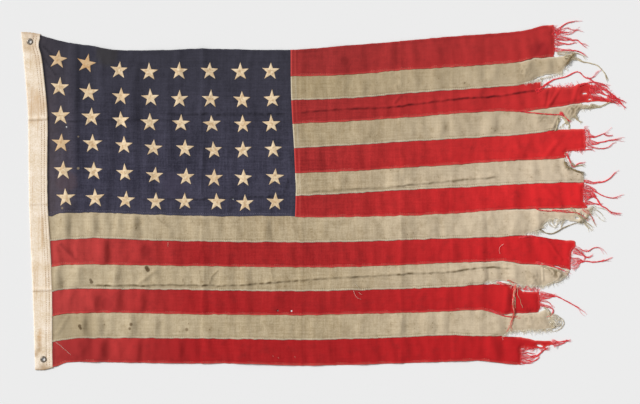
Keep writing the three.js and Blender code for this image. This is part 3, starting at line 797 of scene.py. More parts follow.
# Height of a panel at one place, the painted shade from its creases, folds and seams, and how worn it is
def panelLook(number, x, y, fromTop, fromBottom, bands):
    height, paintedShade = panelHeight(number, x, y)
    pull = math.exp(-min(fromTop, fromBottom) / seam["puckerReach"])
    pitchX, pitchY = seam["puckerPitch"]
    height += seam["pucker"] * pull * perlin(x / pitchX, y / pitchY, 3.3)
    worn = 0
    # painted shadow on the cloth beside the heading's inner edge
    if "heading" in bands:
        kind = "stripeHeadingShadow" if number else "cantonHeadingShadow"
        paintedShade = max(paintedShade, seamLine(kind, x - clothHoist(y)))
    # the dark lines of the foot, head, hem and side bands are painted shade along the raised bands and under
    # the lap
    if "foot" in bands:
        height += bandLift(fromBottom)
        paintedShade = max(paintedShade, seamLine("foot", fromBottom))
        worn = seamLine("wornFoot", fromBottom)
    if "head" in bands:
        height -= seam["tuck"] * softLine(fromTop, 1.6)
        paintedShade = max(paintedShade, seamLine("head", fromTop))
    if "hem" in bands:
        height += bandLift(fromTop)
        paintedShade = max(paintedShade, seamLine("hem", fromTop))
    if "side" in bands:
        inward = x - cantonEdge(y)
        height += seam["lift"] * (1 - smoothStep(inward, *seam["sideBand"]))
        paintedShade = max(paintedShade, seamLine("side", inward))
        worn = max(worn, seamLine("wornSide", inward), seamLine("wornSideBand", inward))
    return max(lowest(number), height), paintedShade, worn


# A woven panel as a fine sheet on the flag's folds. `hoist` and `fly` give its side edges as functions of y.
def weavePanel(name, number, columns, rows, hoist, fly, bands, material):
    bm = bmesh.new()
    last = len(columns) - 1
    bmesh.ops.create_grid(bm, x_segments=last, y_segments=rows, size=1)
    shadeAndSoilMark = bm.verts.layers.float.new("shadeAndSoilMark")
    wear = bm.verts.layers.float.new("wear")
    tops, bottoms = zip(*(edgesOf(number, x) for x in columns))
    flatPlace = {}
    for vert in bm.verts:
        column = round((vert.co.x + 1) / 2 * last)
        down = (1 - vert.co.y) / 2
        wide = tops[column] - bottoms[column] + seam["lap"]
        x = columns[column]
        y = tops[column] - wide * down
        x += (hoist(y) - columns[0]) * max(0, 1 - (x - columns[0]) / grid["sideReach"])
        if fly:
            x += (fly(y) - columns[-1]) * max(0, 1 - (columns[-1] - x) / grid["sideReach"])
        height, vert[shadeAndSoilMark], vert[wear] = panelLook(number, x, y, wide * down, wide * (1 - down), bands)
        vert.co = placed(x, y, height)
        flatPlace[vert] = (x, y)
    gone = []
    for face in bm.faces:
        place = middleOf(face, flatPlace)
        if inHole(*place) or isTornOff(number, *place):
            gone.append(face)
    bmesh.ops.delete(bm, geom=gone, context="FACES")
    if number in tornEnds:
        dropScraps(bm)
        softenTorn(bm, number, flatPlace, wear)
    faceUp(bm)
    piece = meshPiece(name, bm, material)
    thicken(piece, cloth["thickness"])
    return piece


def middleOf(face, flatPlace):
    xs, ys = zip(*(flatPlace[v] for v in face.verts))
    return sum(xs) / len(xs), sum(ys) / len(ys)


def tornStart(number):
    return min(x for x, _ in tornEnds[number]) - tornShape["margin"]


# Whether a place is past the torn outline, made ragged
def isTornOff(number, x, y):
    if number not in tornEnds or x <= tornStart(number):
        return False
    (byX, pitchX), (byY, pitchY) = tornShape["frayX"], tornShape["frayY"]
    raggedX = x + byX * perlin(y / pitchX, x / 40, 6.2)
    raggedY = y + byY * perlin(x / pitchY, y / 40, 8.8)
    return not inOutline(raggedX, raggedY, tornOutline(number))


# Softens the stair steps of a torn edge and lays the cloth beside it low
def softenTorn(bm, number, flatPlace, wear):
    start = tornStart(number)
    rim = [v for v in bm.verts if v.is_boundary and flatPlace[v][0] > start]
    for _ in range(2):
        bmesh.ops.smooth_vert(bm, verts=rim, factor=0.45, use_axis_x=True, use_axis_y=True)
    ring = set(rim)
    done = set(rim)
    for share, worn in tornRings:
        for vert in ring:
            vert.co.z = max(tornShape["lowest"] * mm, share * vert.co.z)
            vert[wear] = max(vert[wear], worn)
        ring = {edge.other_vert(v) for v in ring for edge in v.link_edges} - done
        done |= ring
    bmesh.ops.smooth_vert(bm, verts=list(done), factor=0.5, use_axis_z=True)


# Keeps only the largest piece of cloth that hangs together
def dropScraps(bm):
    unseen = set(bm.faces)
    islands = []
    while unseen:
        island = [unseen.pop()]
        for face in island:
            for edge in face.edges:
                for other in edge.link_faces:
                    if other in unseen:
                        unseen.remove(other)
                        island.append(other)
        islands.append(island)
    islands.sort(key=len)
    scraps = [face for island in islands[:-1] for face in island]
    bmesh.ops.delete(bm, geom=scraps, context="FACES")


def makeStripe(number):
    short = number <= 7
    hoist = cantonEdge if short else clothHoist
    start = hoist(edges[number - 1][0][1])
    end = max(x for x, _ in tornEnds[number]) + tornShape["past"]
    columns = columnPlaces(start, tornStart(number), end)
    bands = {"foot", "side" if short else "heading"}
    if number not in (1, 8):
        bands.add("head")
    if number == 1:
        bands.add("hem")
    piece = weavePanel(f"stripe_{number}_cloth", number, columns, grid["stripeRows"], hoist, None, bands,
                       buntingMaterials[dyeOf(number)])
    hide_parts(f"stripe_{number}")
    width = max(yAt(edges[number - 1], x) - yAt(edges[number], x) for x in columns) + seam["fold"]


# The canton reaches from the heading to the line where the short stripes begin; its flat size is in metres
canton = {"flat": (0.48, 0.71), "top": -8, "end": 754}


def makeCanton():
    columns = columnPlaces(clothHoist(canton["top"]), canton["end"], canton["end"])
    columns[-1] = canton["end"]
    piece = weavePanel("canton_cloth", 0, columns, grid["cantonRows"], clothHoist, cantonEdge,
                       {"foot", "hem", "heading"}, buntingMaterials["blue"])
    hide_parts("canton")
    return piece


cantonPiece = makeCanton()
for stripeNumber in range(1, 14):
    makeStripe(stripeNumber)
print("bunting panels made")

# Five-pointed appliqued stars, front and back. A turn in degrees and a rust stain go by row and column.
star = {
    "reach": 27.2, "waist": 0.39, "cut": (0.93, 1.05), "lift": 0.35, "puff": 0.6, "wrinkle": (0.3, 5),
    "thickness": 0.45, "edgeSteps": 4, "rings": (1, 0.9, 0.7, 0.45, 0.2),
    "hoistColumns": 1.05, "otherColumns": 0.98, "lean": 2.5, "rust": 0.05, "gap": 0.02, "under": 0.05,
    "tilts": {(0, 0): -8, (0, 1): -9, (0, 2): -4, (0, 3): -3, (1, 0): -3, (1, 1): -4, (1, 2): -6, (2, 0): -4,
              (3, 0): -3, (3, 3): -5, (4, 3): -5, (5, 2): -3, (2, 5): 4, (3, 5): 3},
    "rusty": {(0, 0): 0.55, (0, 1): 0.95, (3, 0): 0.6, (1, 2): 0.25, (4, 5): 0.2},
}
starCentres = [
    [(103, -76), (183, -88), (274, -106), (358, -111), (442, -109), (527, -109), (613, -111), (698, -109)],
    [(107, -154), (189, -168), (279, -180), (362, -184), (443, -187), (530, -187), (618, -189), (702, -187)],
    [(110, -233), (196, -237), (279, -247), (360, -253), (447, -255), (533, -257), (620, -258), (700, -257)],
    [(112, -310), (200, -312), (288, -317), (370, -324), (458, -326), (539, -330), (621, -330), (705, -328)],
    [(118, -387), (203, -389), (290, -394), (374, -401), (461, -405), (540, -408), (622, -408), (710, -406)],
    [(125, -463), (207, -464), (293, -470), (377, -474), (457, -474), (547, -475), (627, -479), (711, -475)],
]


# Ten corners, with a few points between each two, round the star's own middle
def starOutline(size, turn, draw):
    corners = []
    for k in range(10):
        reach = star["reach"] * size * (star["waist"] if k % 2 else 1) * draw.uniform(*star["cut"])
        angle = math.radians(90 + 36 * k + turn) + draw.uniform(-0.05, 0.05)
        corners.append((reach * math.cos(angle), reach * math.sin(angle)))
    steps = star["edgeSteps"]
    around = []
    for (ax, ay), (bx, by) in zip(corners, corners[1:] + corners[:1]):
        around += [(ax + (bx - ax) * s / steps, ay + (by - ay) * s / steps) for s in range(steps)]
    return around


def addStar(bm, layers, centre, outline, rust, under):
    crumple, pitch = star["wrinkle"]
    rings = []
    for size in star["rings"]:
        ring = []
        for px, py in outline:
            x = centre[0] + px * size
            y = centre[1] + py * size
            height, _ = panelHeight(0, x, y)
            if under:
                height = max(star["thickness"] + star["gap"], height - cloth["thickness"] - star["under"])
            else:
                height += star["lift"] + star["puff"] * smoothStep(1 - size, 0, 0.3)
                height += crumple * (1 - size) * perlin(x / pitch, y / pitch, 2)
            vert = bm.verts.new(placed(x, y, height))
            vert[layers["middle"]] = smoothStep(1 - size, 0.2, 0.75)
            vert[layers["rust"]] = rust
            # painted shade at the turned-in rim
            vert[layers["rim"]] = smoothStep(size, 0.86, 1)
            ring.append(vert)
        rings.append(ring)
    for outer, inner in zip(rings, rings[1:]):
        for k in range(len(outline)):
            after = (k + 1) % len(outline)
            bm.faces.new((outer[k], outer[after], inner[after], inner[k]))
    bm.faces.new(rings[-1])


def makeStars(name, under):
    draw = random.Random(48)
    bm = bmesh.new()
    layers = {key: bm.verts.layers.float.new(key) for key in ("middle", "rust", "rim")}
    for row, centres in enumerate(starCentres):
        for column, centre in enumerate(centres):
            turn = star["tilts"].get((row, column), 0) + draw.uniform(-star["lean"], star["lean"])
            size = star["hoistColumns"] if column < 2 else star["otherColumns"]
            outline = starOutline(size, turn, draw)
            addStar(bm, layers, centre, outline, star["rusty"].get((row, column), star["rust"]), under)
    piece = meshPiece(name, bm, starCotton)
    thicken(piece, star["thickness"])
    return piece


frontStars = makeStars("stars_front", False)
backStars = makeStars("stars_back", True)
print("stars made")

# Heading: canvas folded round the cloth's edge, crossed by storage creases (level and height)
heading = {
    "thickness": 2.5, "underside": 0.8, "across": 18, "along": 300, "foot": -945, "round": 2.0,
    "roundDrop": 0.5, "rough": 1.5, "flat": (0.058, 0.95), "creases": [(-243, 2.0), (-722, 1.6), (-480, 0.5)],
    "creaseHalf": 7, "creaseLean": 0.04, "stitchRows": (9.5, 17.5), "stitchGroove": 0.35,
    "eyeletSeat": 11, "eyeletHole": 6.2, "puckers": 6, "puckerHeight": 0.35, "puckerFrom": 9, "puckerTo": 22,
}


def headingPoint(share, down):
    level = heading["foot"] * down
    x = xAt(headingOuter, level) * (1 - share) + xAt(headingInner, level) * share
    y = yAt(headingTop, x) * (1 - down) + yAt(headingBottom, x) * down
    return x, y


def headingHeight(x, y, share):
    height = heading["thickness"] + 0.25 * perlin(x / 14, y / 30, 1) + 0.3 * perlin(x / 50, y / 70, 4)
    for level, lift in heading["creases"]:
        height += lift * ridge(abs(y - level - heading["creaseLean"] * x), heading["creaseHalf"])
    inner = xAt(headingInner, y)
    for inset in heading["stitchRows"]:
        height -= heading["stitchGroove"] * softLine(inner - inset - x, 1.3)
    edge = min(share, 1 - share) * (inner - xAt(headingOuter, y))
    if edge < heading["round"]:
        height -= heading["roundDrop"] * (1 - edge / heading["round"]) ** 2
    for eyeX, eyeY in eyeletCentres.values():
        away = math.hypot(x - eyeX, y - eyeY)
        if away < heading["eyeletSeat"]:
            height = min(height, heading["thickness"])
        if heading["puckerFrom"] < away < heading["puckerTo"]:
            turn = heading["puckers"] * math.atan2(y - eyeY, x - eyeX)
            height += heading["puckerHeight"] * math.sin(turn) * ridge(away - 12, 9)
    return height


# How dark the stitch rows and the two cut ends mark the canvas, and the painted shade on the lower side of
# each crease
def headingMark(x, y, down):
    marks = [0, 0.6 * math.exp(-down * 200), 0.7 * math.exp((down - 1) * 160)]
    for level, lift in heading["creases"]:
        # painted shade on the lower slope of the crease
        marks.append(0.5 * softLine(y - level - heading["creaseLean"] * x + 5, 2) * min(1, lift))
    for inset in heading["stitchRows"]:
        marks.append(0.3 * softLine(xAt(headingInner, y) - inset - x, 1.2))
    return max(marks)


def makeHeading():
    bm = bmesh.new()
    bmesh.ops.create_grid(bm, x_segments=heading["across"], y_segments=heading["along"], size=1)
    shadeAndSoilMark = bm.verts.layers.float.new("shadeAndSoilMark")
    for vert in bm.verts:
        share = (vert.co.x + 1) / 2
        down = (1 - vert.co.y) / 2
        # points gather toward the two long edges
        share = 0.5 - 0.5 * math.cos(math.pi * share) * (0.35 + 0.65 * abs(2 * share - 1))
        x, y = headingPoint(share, down)
        ragged = heading["rough"] * perlin(x / 3, down * 9, 2)
        ragged *= math.exp(-down * 60) + math.exp((down - 1) * 60)
        vert.co = placed(x, y + ragged, headingHeight(x, y, share))
        vert[shadeAndSoilMark] = headingMark(x, y, down)
    # a hole under each eyelet's flange
    for centre in eyeletCentres.values():
        middle = placed(*centre, 0).xy
        reach = heading["eyeletHole"] * mm
        inside = [f for f in bm.faces if (f.calc_center_median().xy - middle).length < reach]
        bmesh.ops.delete(bm, geom=inside, context="FACES")
    faceUp(bm)
    piece = meshPiece("heading_canvas", bm, canvas)
    thicken(piece, heading["thickness"] - heading["underside"])
    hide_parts("heading")
    return piece


headingPiece = makeHeading()

# Set eyelets: a flange on each side and a rolled rim on the face side
eyelet = {"hole": 4.75, "barrel": 5.6, "flange": 9.2, "under": 0.8, "seat": 2.75, "crown": 1.2, "sides": 48}


def makeEyelet(which):
    cx, cy = eyeletCentres[which]
    bm = bmesh.new()
    hole, barrel, flange, seat = eyelet["hole"], eyelet["barrel"], eyelet["flange"], eyelet["seat"]
    crown = seat + eyelet["crown"]
    profile = [
        (hole, 0.6), (hole + 0.3, 0.15), (hole + 0.8, 0), (flange - 0.3, 0), (flange, 0.25),
        (flange, eyelet["under"]), (barrel, eyelet["under"]), (barrel, seat), (flange, seat),
        (flange - 0.1, seat + 0.35), (flange - 0.8, seat + 0.55), (flange - 1.6, seat + 0.6),
        (barrel + 1.3, seat + 0.75), (barrel + 0.7, crown - 0.1), (barrel, crown),
        (barrel - 0.6, crown - 0.25), (hole, seat + 0.5),
    ]
    ring = [bm.verts.new(placed(cx + r, cy, z)) for r, z in profile]
    spun = [bm.edges.new((a, b)) for a, b in zip(ring, ring[1:] + ring[:1])]
    bmesh.ops.spin(bm, geom=ring + spun, cent=placed(cx, cy, 0), axis=(0, 0, 1), angle=math.tau,
                   steps=eyelet["sides"], use_merge=True)
    bmesh.ops.remove_doubles(bm, verts=bm.verts, dist=1e-6)
    bmesh.ops.recalc_face_normals(bm, faces=bm.faces)
    piece = meshPiece(f"eyelet_{which}", bm, eyeletMetal)
    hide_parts(f"grommet_{which}")


for whichEyelet in eyeletCentres:
    makeEyelet(whichEyelet)
print("heading and eyelets made")

# Loose yarn. Each twist fans out of the torn edge, winds together and frays at its tip. The colours are in
# the order of yarnLooks.
red, tan, lint, seamRed, seamTan, headThread, seamBlue, rolled = range(8)
yarn = {"radius": 0.5, "wide": 2.6, "turns": 0.04, "tipFray": 5.5, "tipFrom": 0.7, "pointEvery": 6,
        "fullness": 2.4, "fan": 1.4, "gather": (0.6, 60), "reach": (0.66, 1.0), "taper": 0.45,
        "sway": (1.6, 14), "kink": (0.5, 4), "onCloth": 0.9, "offCloth": 1.3, "settle": 18}


# How many yarns, how far they fan out at the root, then the points of the middle line
def twist(yarns, fan, *path, colour=None, wide=yarn["wide"], radius=yarn["radius"], mixed=False, raised=0):
    return {"yarns": yarns, "fan": fan, "path": path, "colour": colour, "wide": wide, "radius": radius,
            "mixed": mixed, "raised": raised}


bundles = {
    1: [
        twist(3, 12, (1490, -11), (1500, 3), (1522, 23), (1550, 30), (1587, 30)),
        twist(4, 14, (1490, 4), (1508, 2), (1525, 0), (1541, 1)),
        twist(4, 10, (1492, -17), (1525, -18), (1543, -22), (1556, -22), (1570, -33), (1588, -42)),
        twist(4, 12, (1492, -32), (1512, -31), (1536, -33), (1556, -22)),
        twist(3, 8, (1492, -50), (1525, -50), (1554, -52), (1576, -62), (1592, -76)),
        twist(2, 6, (1500, -8), (1524, 12), (1548, 6), (1570, 14), radius=0.35),
        twist(2, 8, (1498, -2), (1530, -6), (1556, 6), (1574, -2), radius=0.35),
    ],
    2: [
        twist(5, 10, (1520, -66), (1550, -73), (1573, -82), (1598, -88), (1615, -95), (1632, -114),
            (1640, -132), (1646, -150), colour=tan, wide=1.7),
        twist(3, 8, (1500, -60), (1530, -56), (1560, -60), (1584, -74), colour=tan),
        twist(3, 3, (1548, -60), (1536, -72), (1528, -86), (1520, -98), colour=rolled, wide=4),
    ],
    3: [
        twist(5, 8, (1440, -166), (1455, -157), (1486, -134), (1525, -124), (1548, -112), (1562, -112),
            (1578, -126), (1596, -128), (1612, -114), (1628, -104), wide=1.8),
        twist(2, 2, (1584, -126), (1612, -144), (1637, -151), (1650, -160)),
        twist(3, 4, (1560, -150), (1581, -142), (1606, -140), (1630, -146), (1648, -152)),
        twist(4, 12, (1640, -182), (1665, -190), (1685, -206), (1693, -214)),
        twist(4, 10, (1640, -176), (1668, -186), (1696, -196)),
        twist(2, 3, (1461, -154), (1473, -146), (1486, -152)),
        twist(6, 16, (1590, -160), (1622, -168), (1654, -186), (1684, -202)),
        twist(6, 12, (1604, -150), (1634, -160), (1660, -178), (1686, -200)),
        twist(5, 16, (1590, -172), (1620, -184), (1652, -194), (1680, -204)),
    ],
    4: [
        twist(3, 1, (1394, -221), (1444, -227), (1483, -230), (1513, -232), (1522, -242), colour=red),
        twist(5, 8, (1506, -226), (1518, -232), (1528, -244), (1540, -252), colour=red),
        twist(5, 10, (1516, -234), (1526, -246), (1534, -262), (1530, -272), mixed=True),
        twist(4, 8, (1592, -205), (1622, -207), (1644, -197), (1666, -191), colour=tan),
        twist(4, 8, (1574, -210), (1600, -212), (1624, -206), colour=tan),
        twist(4, 10, (1548, -232), (1558, -246), (1570, -254), colour=tan),
        twist(4, 9, (1504, -240), (1500, -262), (1494, -282), colour=tan),
    ],
    5: [
        twist(4, 16, (1577, -276), (1590, -290), (1608, -292), (1628, -284), (1657, -272), wide=1.7),
        twist(5, 20, (1578, -300), (1598, -310), (1626, -307), (1650, -302), (1690, -299)),
        twist(2, 10, (1578, -314), (1600, -322), (1634, -325), (1668, -306)),
        twist(3, 8, (1560, -330), (1582, -328), (1606, -329)),
        twist(4, 8, (1525, -338), (1532, -352), (1538, -364)),
        twist(2, 2, (1628, -284), (1644, -290), (1660, -288)),
    ],
    6: [
        twist(5, 3, (1520, -362), (1526, -374), (1542, -383), (1562, -391), (1578, -395), colour=rolled,
            wide=4.5, radius=0.8),
        twist(4, 4, (1538, -366), (1550, -374), (1566, -372), (1580, -374), colour=tan),
        twist(3, 3, (1536, -362), (1546, -376), (1562, -366), (1580, -368), colour=red),
        twist(4, 6, (1574, -417), (1604, -421), (1629, -418), (1648, -408), (1662, -394), (1678, -386),
            colour=red),
    ],
    7: [
        twist(5, 14, (1574, -434), (1598, -440), (1614, -450), (1634, -460), (1660, -464), (1688, -459),
            wide=1.8),
        twist(7, 18, (1573, -454), (1592, -452), (1608, -462), (1622, -484), (1636, -492), (1654, -506),
            (1682, -512), wide=2.6),
        twist(5, 10, (1576, -478), (1598, -478), (1612, -481), (1626, -484)),
        twist(3, 6, (1576, -470), (1592, -463), (1612, -456)),
    ],
    8: [
        twist(2, 12, (1586, -490), (1606, -496), (1624, -508), (1634, -526), colour=tan, radius=0.3),
        twist(2, 14, (1588, -500), (1606, -508), (1622, -524), (1636, -530), colour=lint, radius=0.3),
        twist(2, 12, (1580, -512), (1596, -522), (1606, -538), (1612, -550), colour=tan, radius=0.3),
        twist(2, 12, (1564, -522), (1578, -534), (1590, -546), (1598, -560), colour=lint, radius=0.3),
        twist(2, 8, (1592, -488), (1612, -490), (1634, -496), (1650, -506), colour=lint, radius=0.3),
        twist(2, 8, (1568, -494), (1590, -508), (1602, -526), (1606, -540), colour=red, radius=0.35),
        twist(2, 4, (1472, -530), (1480, -540), (1494, -546), (1506, -538), colour=lint),
        twist(2, 6, (1486, -524), (1490, -538), (1502, -550), colour=tan, radius=0.3),
        twist(2, 6, (1504, -526), (1500, -538), (1486, -550), colour=lint),
        twist(2, 6, (1520, -524), (1514, -536), (1508, -552), colour=tan),
        twist(3, 2, (1450, -550), (1464, -560), (1484, -564), (1500, -558), (1520, -546), (1548, -536),
            (1580, -534), colour=rolled, wide=2.6, radius=0.5),
        twist(2, 6, (1536, -492), (1560, -512), (1580, -540), (1596, -558), colour=tan),
        twist(2, 4, (1486, -497), (1520, -503), (1556, -506), (1590, -530), colour=red),
        twist(2, 2, (1440, -494), (1470, -500), (1510, -498), (1540, -502), colour=red),
        twist(2, 8, (1560, -510), (1580, -530), (1608, -552), colour=tan),
    ],
    9: [
        twist(6, 30, (1538, -650), (1556, -642), (1574, -640), (1600, -643), (1626, -640), (1658, -633),
            wide=2.2),
        twist(3, 8, (1549, -604), (1570, -611), (1587, -612), (1602, -604), (1620, -604), (1640, -628),
            radius=0.4),
        twist(4, 12, (1545, -612), (1566, -620), (1584, -630), (1604, -624)),
        twist(2, 4, (1566, -614), (1578, -630), (1572, -640)),
        twist(3, 4, (1392, -575), (1420, -571), (1446, -572)),
    ],
    10: [
        twist(4, 5, (1440, -644), (1476, -652), (1508, -662), (1538, -680), colour=red),
        twist(2, 8, (1452, -650), (1490, -664), (1530, -678), colour=tan),
    ],
    11: [
        twist(5, 12, (1452, -741), (1483, -739), (1500, -740), (1530, -755), (1559, -772), (1582, -794),
            wide=1.8),
        twist(3, 8, (1452, -730), (1476, -732), (1500, -737), radius=0.4),
        twist(3, 6, (1452, -764), (1479, -769), (1489, -780), (1480, -793), (1464, -794)),
        twist(2, 6, (1452, -750), (1476, -756), (1490, -774), radius=0.4),
        twist(7, 2, (1384, -704), (1379, -734), (1376, -760), (1379, -786), (1370, -817), (1364, -842),
            wide=5.5, mixed=True),
        twist(3, 3, (1366, -698), (1384, -712), (1378, -730), (1382, -752), (1376, -780), colour=tan),
        twist(4, 4, (1360, -694), (1376, -702), (1390, -716), (1400, -712), (1392, -700), (1378, -706),
            mixed=True),
        twist(1, 0, (1386, -712), (1392, -740), (1400, -762), (1402, -782), colour=tan),
        twist(4, 3, (1312, -776), (1340, -790), (1368, -796), (1398, -797)),
        twist(3, 6, (1330, -700), (1356, -706), (1378, -712), (1392, -722)),
        twist(2, 2, (1408, -722), (1418, -710), (1426, -722), (1434, -712), (1442, -722), (1450, -716)),
    ],
    12: [
        twist(2, 3, (1476, -786), (1500, -793), (1518, -808), (1514, -825), (1492, -837), (1474, -832),
            colour=tan, radius=0.3),
        twist(2, 8, (1482, -792), (1504, -800), (1512, -812), (1500, -826), (1482, -828), colour=lint,
            radius=0.3),
        twist(2, 6, (1484, -800), (1496, -812), (1510, -818), (1506, -830), colour=lint),
        twist(2, 6, (1488, -822), (1502, -812), (1508, -798), (1494, -792), colour=lint),
        twist(2, 6, (1486, -808), (1500, -820), (1518, -818), colour=lint),
        twist(2, 10, (1484, -796), (1502, -804), (1516, -812), colour=lint),
        twist(3, 4, (1462, -770), (1478, -780), (1476, -794), colour=tan),
    ],
    13: [
        twist(4, 10, (1484, -867), (1510, -866), (1540, -862)),
        twist(3, 8, (1490, -877), (1514, -871), (1530, -862)),
        twist(3, 8, (1398, -890), (1420, -886), (1440, -882)),
        twist(5, 14, (1398, -906), (1427, -910), (1447, -903), (1462, -890), (1480, -884)),
        twist(4, 12, (1398, -922), (1427, -922), (1444, -915), (1455, -901)),
        twist(3, 8, (1398, -898), (1416, -896), (1440, -904), radius=0.4),
    ],
}
# Single pale threads lying on the cloth: which stripe, then the points
strays = [
    (13, (97, -867), (130, -895), (164, -923)), (9, (412, -588), (411, -600), (413, -614)),
    (10, (932, -703), (940, -711), (947, -720)), (11, (929, -723), (936, -738), (948, -746), (965, -739)),
    (11, (944, -727), (950, -733), (956, -730)), (9, (1349, -592), (1338, -604), (1339, -628)),
    (13, (703, -905), (705, -906), (707, -908)), (13, (719, -910), (721, -911), (723, -912)),
    (13, (765, -906), (767, -908), (768, -911)),
]
strayLook = {"colour": lint, "wide": 0.3, "radius": 0.32, "raised": 2.2}


def curvePoint(path, t):
    spot = t * (len(path) - 1)
    i = min(int(spot), len(path) - 2)
    t = spot - i
    before = path[max(0, i - 1)]
    after = path[min(len(path) - 1, i + 2)]
    result = []
    for a, b, c, d in zip(before, path[i], path[i + 1], after):
        result.append(b + 0.5 * t * (c - a + t * (2 * a - 5 * b + 4 * c - d + t * (3 * (b - c) + d - a))))
    return result


# Height for yarn: on the cloth where there is some, or near the surface past the torn edge
def yarnHeight(x, y, number, along):
    pastEdge = smoothStep(along, 0, yarn["settle"])
    if inOutline(x, y, tornOutline(number)):
        pastEdge = 0
    onCloth = panelHeight(number, x, y)[0] + yarn["onCloth"]
    return onCloth * (1 - pastEdge) + yarn["offCloth"] * pastEdge


def bundleStrands(number, bundle, draw):
    path, radius, wide = bundle["path"], bundle["radius"], bundle["wide"]
    length = sum(math.dist(a, b) for a, b in zip(path, path[1:]))
    own = red if dyeOf(number) == "red" else tan
    colour = own if bundle["colour"] is None else bundle["colour"]
    gather = min(yarn["gather"][0] * length, yarn["gather"][1])
    (sway, swayPitch), (kink, kinkPitch) = yarn["sway"], yarn["kink"]
    yarns = max(1, round(bundle["yarns"] * yarn["fullness"])) if bundle["yarns"] > 1 else 1
    count = max(5, int(length / yarn["pointEvery"]))
    strands = []
    for k in range(yarns):
        rootFan = bundle["fan"] * yarn["fan"] * ((k + 0.5) / yarns - 0.5)
        phase = math.tau * k / yarns + draw.uniform(-0.4, 0.4)
        reach = draw.uniform(*yarn["reach"])
        seedShift = draw.uniform(0, 90)
        points = []
        radii = []
        for i in range(count + 1):
            t = i / count * reach
            x, y = curvePoint(path, t)
            ahead = curvePoint(path, min(1, t + 0.02))
            behind = curvePoint(path, max(0, t - 0.02))
            dx, dy = ahead[0] - behind[0], ahead[1] - behind[1]
            size = max(1e-6, math.hypot(dx, dy))
            turn = phase + math.tau * yarn["turns"] * length * t
            tip = smoothStep(t, yarn["tipFrom"], 1)
            side = rootFan * (1 - smoothStep(t * length, 0, gather))
            side += wide * 0.5 * math.sin(turn) + tip * yarn["tipFray"] * math.sin(phase * 1.7)
            side += sway * perlin(t * length / swayPitch, seedShift, k)
            side += kink * perlin(t * length / kinkPitch, seedShift, 0.5)
            x -= dy / size * side
            y += dx / size * side
            height = yarnHeight(x, y, number, t * length)
            height += wide * 0.35 * math.cos(turn) + 0.4 * tip + bundle["raised"]
            points.append(placed(x, y, max(radius + 0.1, height)))
            radii.append(radius * (1 - yarn["taper"] * t))
        mixed = bundle["mixed"] and k % 3 == 0
        strands.append({"points": points, "radii": radii, "colour": tan if mixed else colour})
    return strands


# Short fuzz along a torn outline: fine ends that stand out of the weave. A run has its two ends, how
# thick the fuzz is, and its colour.
fuzz = {"pitch": 1.25, "length": (4, 15), "radius": 0.29, "points": 5, "inside": 4, "lean": 0.55,
        "curl": 0.35, "lowest": 0.4, "sink": 0.8, "probe": 6}
fuzzRuns = {
    1: [((1492, 20), (1494, -52), 1, red)],
    2: [((1553, -60), (1518, -106), 0.6, lint), ((1517, -114), (1410, -144), 2.2, lint)],
    3: [((1486, -152), (1550, -150), 1.6, red), ((1560, -143), (1620, -150), 1, red),
        ((1457, -126), (1457, -154), 1, lint), ((1620, -152), (1684, -198), 0.9, red)],
    4: [((1606, -206), (1560, -218), 1, tan), ((1553, -235), (1496, -276), 1.1, tan)],
    5: [((1579, -264), (1580, -326), 0.8, red), ((1578, -328), (1528, -335), 0.8, red),
        ((1524, -336), (1524, -356), 1, lint)],
    6: [((1574, -395), (1576, -420), 0.9, lint), ((1523, -360), (1545, -382), 0.8, tan)],
    7: [((1575, -424), (1574, -474), 0.8, red)],
    8: [((1597, -488), (1592, -514), 2.2, tan), ((1586, -520), (1560, -534), 2, tan),
        ((1520, -526), (1474, -528), 2.2, lint), ((1470, -534), (1460, -548), 1.6, lint),
        ((1455, -556), (1376, -580), 2, lint)],
    9: [((1551, -594), (1536, -616), 1, red), ((1538, -618), (1536, -664), 0.8, red)],
    10: [((1530, -682), (1466, -711), 2.4, lint), ((1464, -712), (1396, -710), 3.2, lint),
         ((1394, -708), (1300, -700), 3.2, lint)],
    11: [((1396, -716), (1450, -724), 1.2, red), ((1452, -727), (1452, -774), 1.2, red)],
    12: [((1486, -790), (1490, -828), 2.6, tan), ((1478, -786), (1488, -814), 1.6, lint),
         ((1484, -832), (1368, -839), 2.8, lint), ((1366, -840), (1345, -856), 2, lint)],
    13: [((1492, -866), (1492, -878), 0.9, red), ((1469, -886), (1400, -885), 1, red),
         ((1400, -886), (1400, -930), 1.3, red)],
}


def fuzzStrands(number, draw):
    strands = []
    for (ax, ay), (bx, by), amount, colour in fuzzRuns[number]:
        length = math.dist((ax, ay), (bx, by))
        outX, outY = -(by - ay) / length, (bx - ax) / length
        outsideX = (ax + bx) / 2 + fuzz["probe"] * outX
        outsideY = (ay + by) / 2 + fuzz["probe"] * outY
        if inOutline(outsideX, outsideY, tornOutline(number)):
            outX, outY = -outX, -outY
        for _ in range(int(length * amount / fuzz["pitch"])):
            t = draw.random()
            reach = draw.uniform(*fuzz["length"]) * (0.5 + 0.8 * draw.random() ** 2)
            lean = draw.uniform(-fuzz["lean"], fuzz["lean"])
            dirX = outX * math.cos(lean) - outY * math.sin(lean)
            dirY = outX * math.sin(lean) + outY * math.cos(lean)
            curl = draw.uniform(-fuzz["curl"], fuzz["curl"])
            x = ax + (bx - ax) * t - fuzz["inside"] * outX
            y = ay + (by - ay) * t - fuzz["inside"] * outY
            height = panelHeight(number, x, y)[0] * fuzz["sink"]
            points = []
            for i in range(fuzz["points"]):
                s = i / (fuzz["points"] - 1)
                px = x + reach * (dirX * s - dirY * curl * s * s)
                py = y + reach * (dirY * s + dirX * curl * s * s)
                lift = height * (1 - 0.5 * s) + draw.uniform(0, 0.5)
                points.append(placed(px, py, max(fuzz["lowest"], lift)))
            strands.append({"points": points, "radii": [fuzz["radius"]] * len(points), "colour": colour})
    return strands


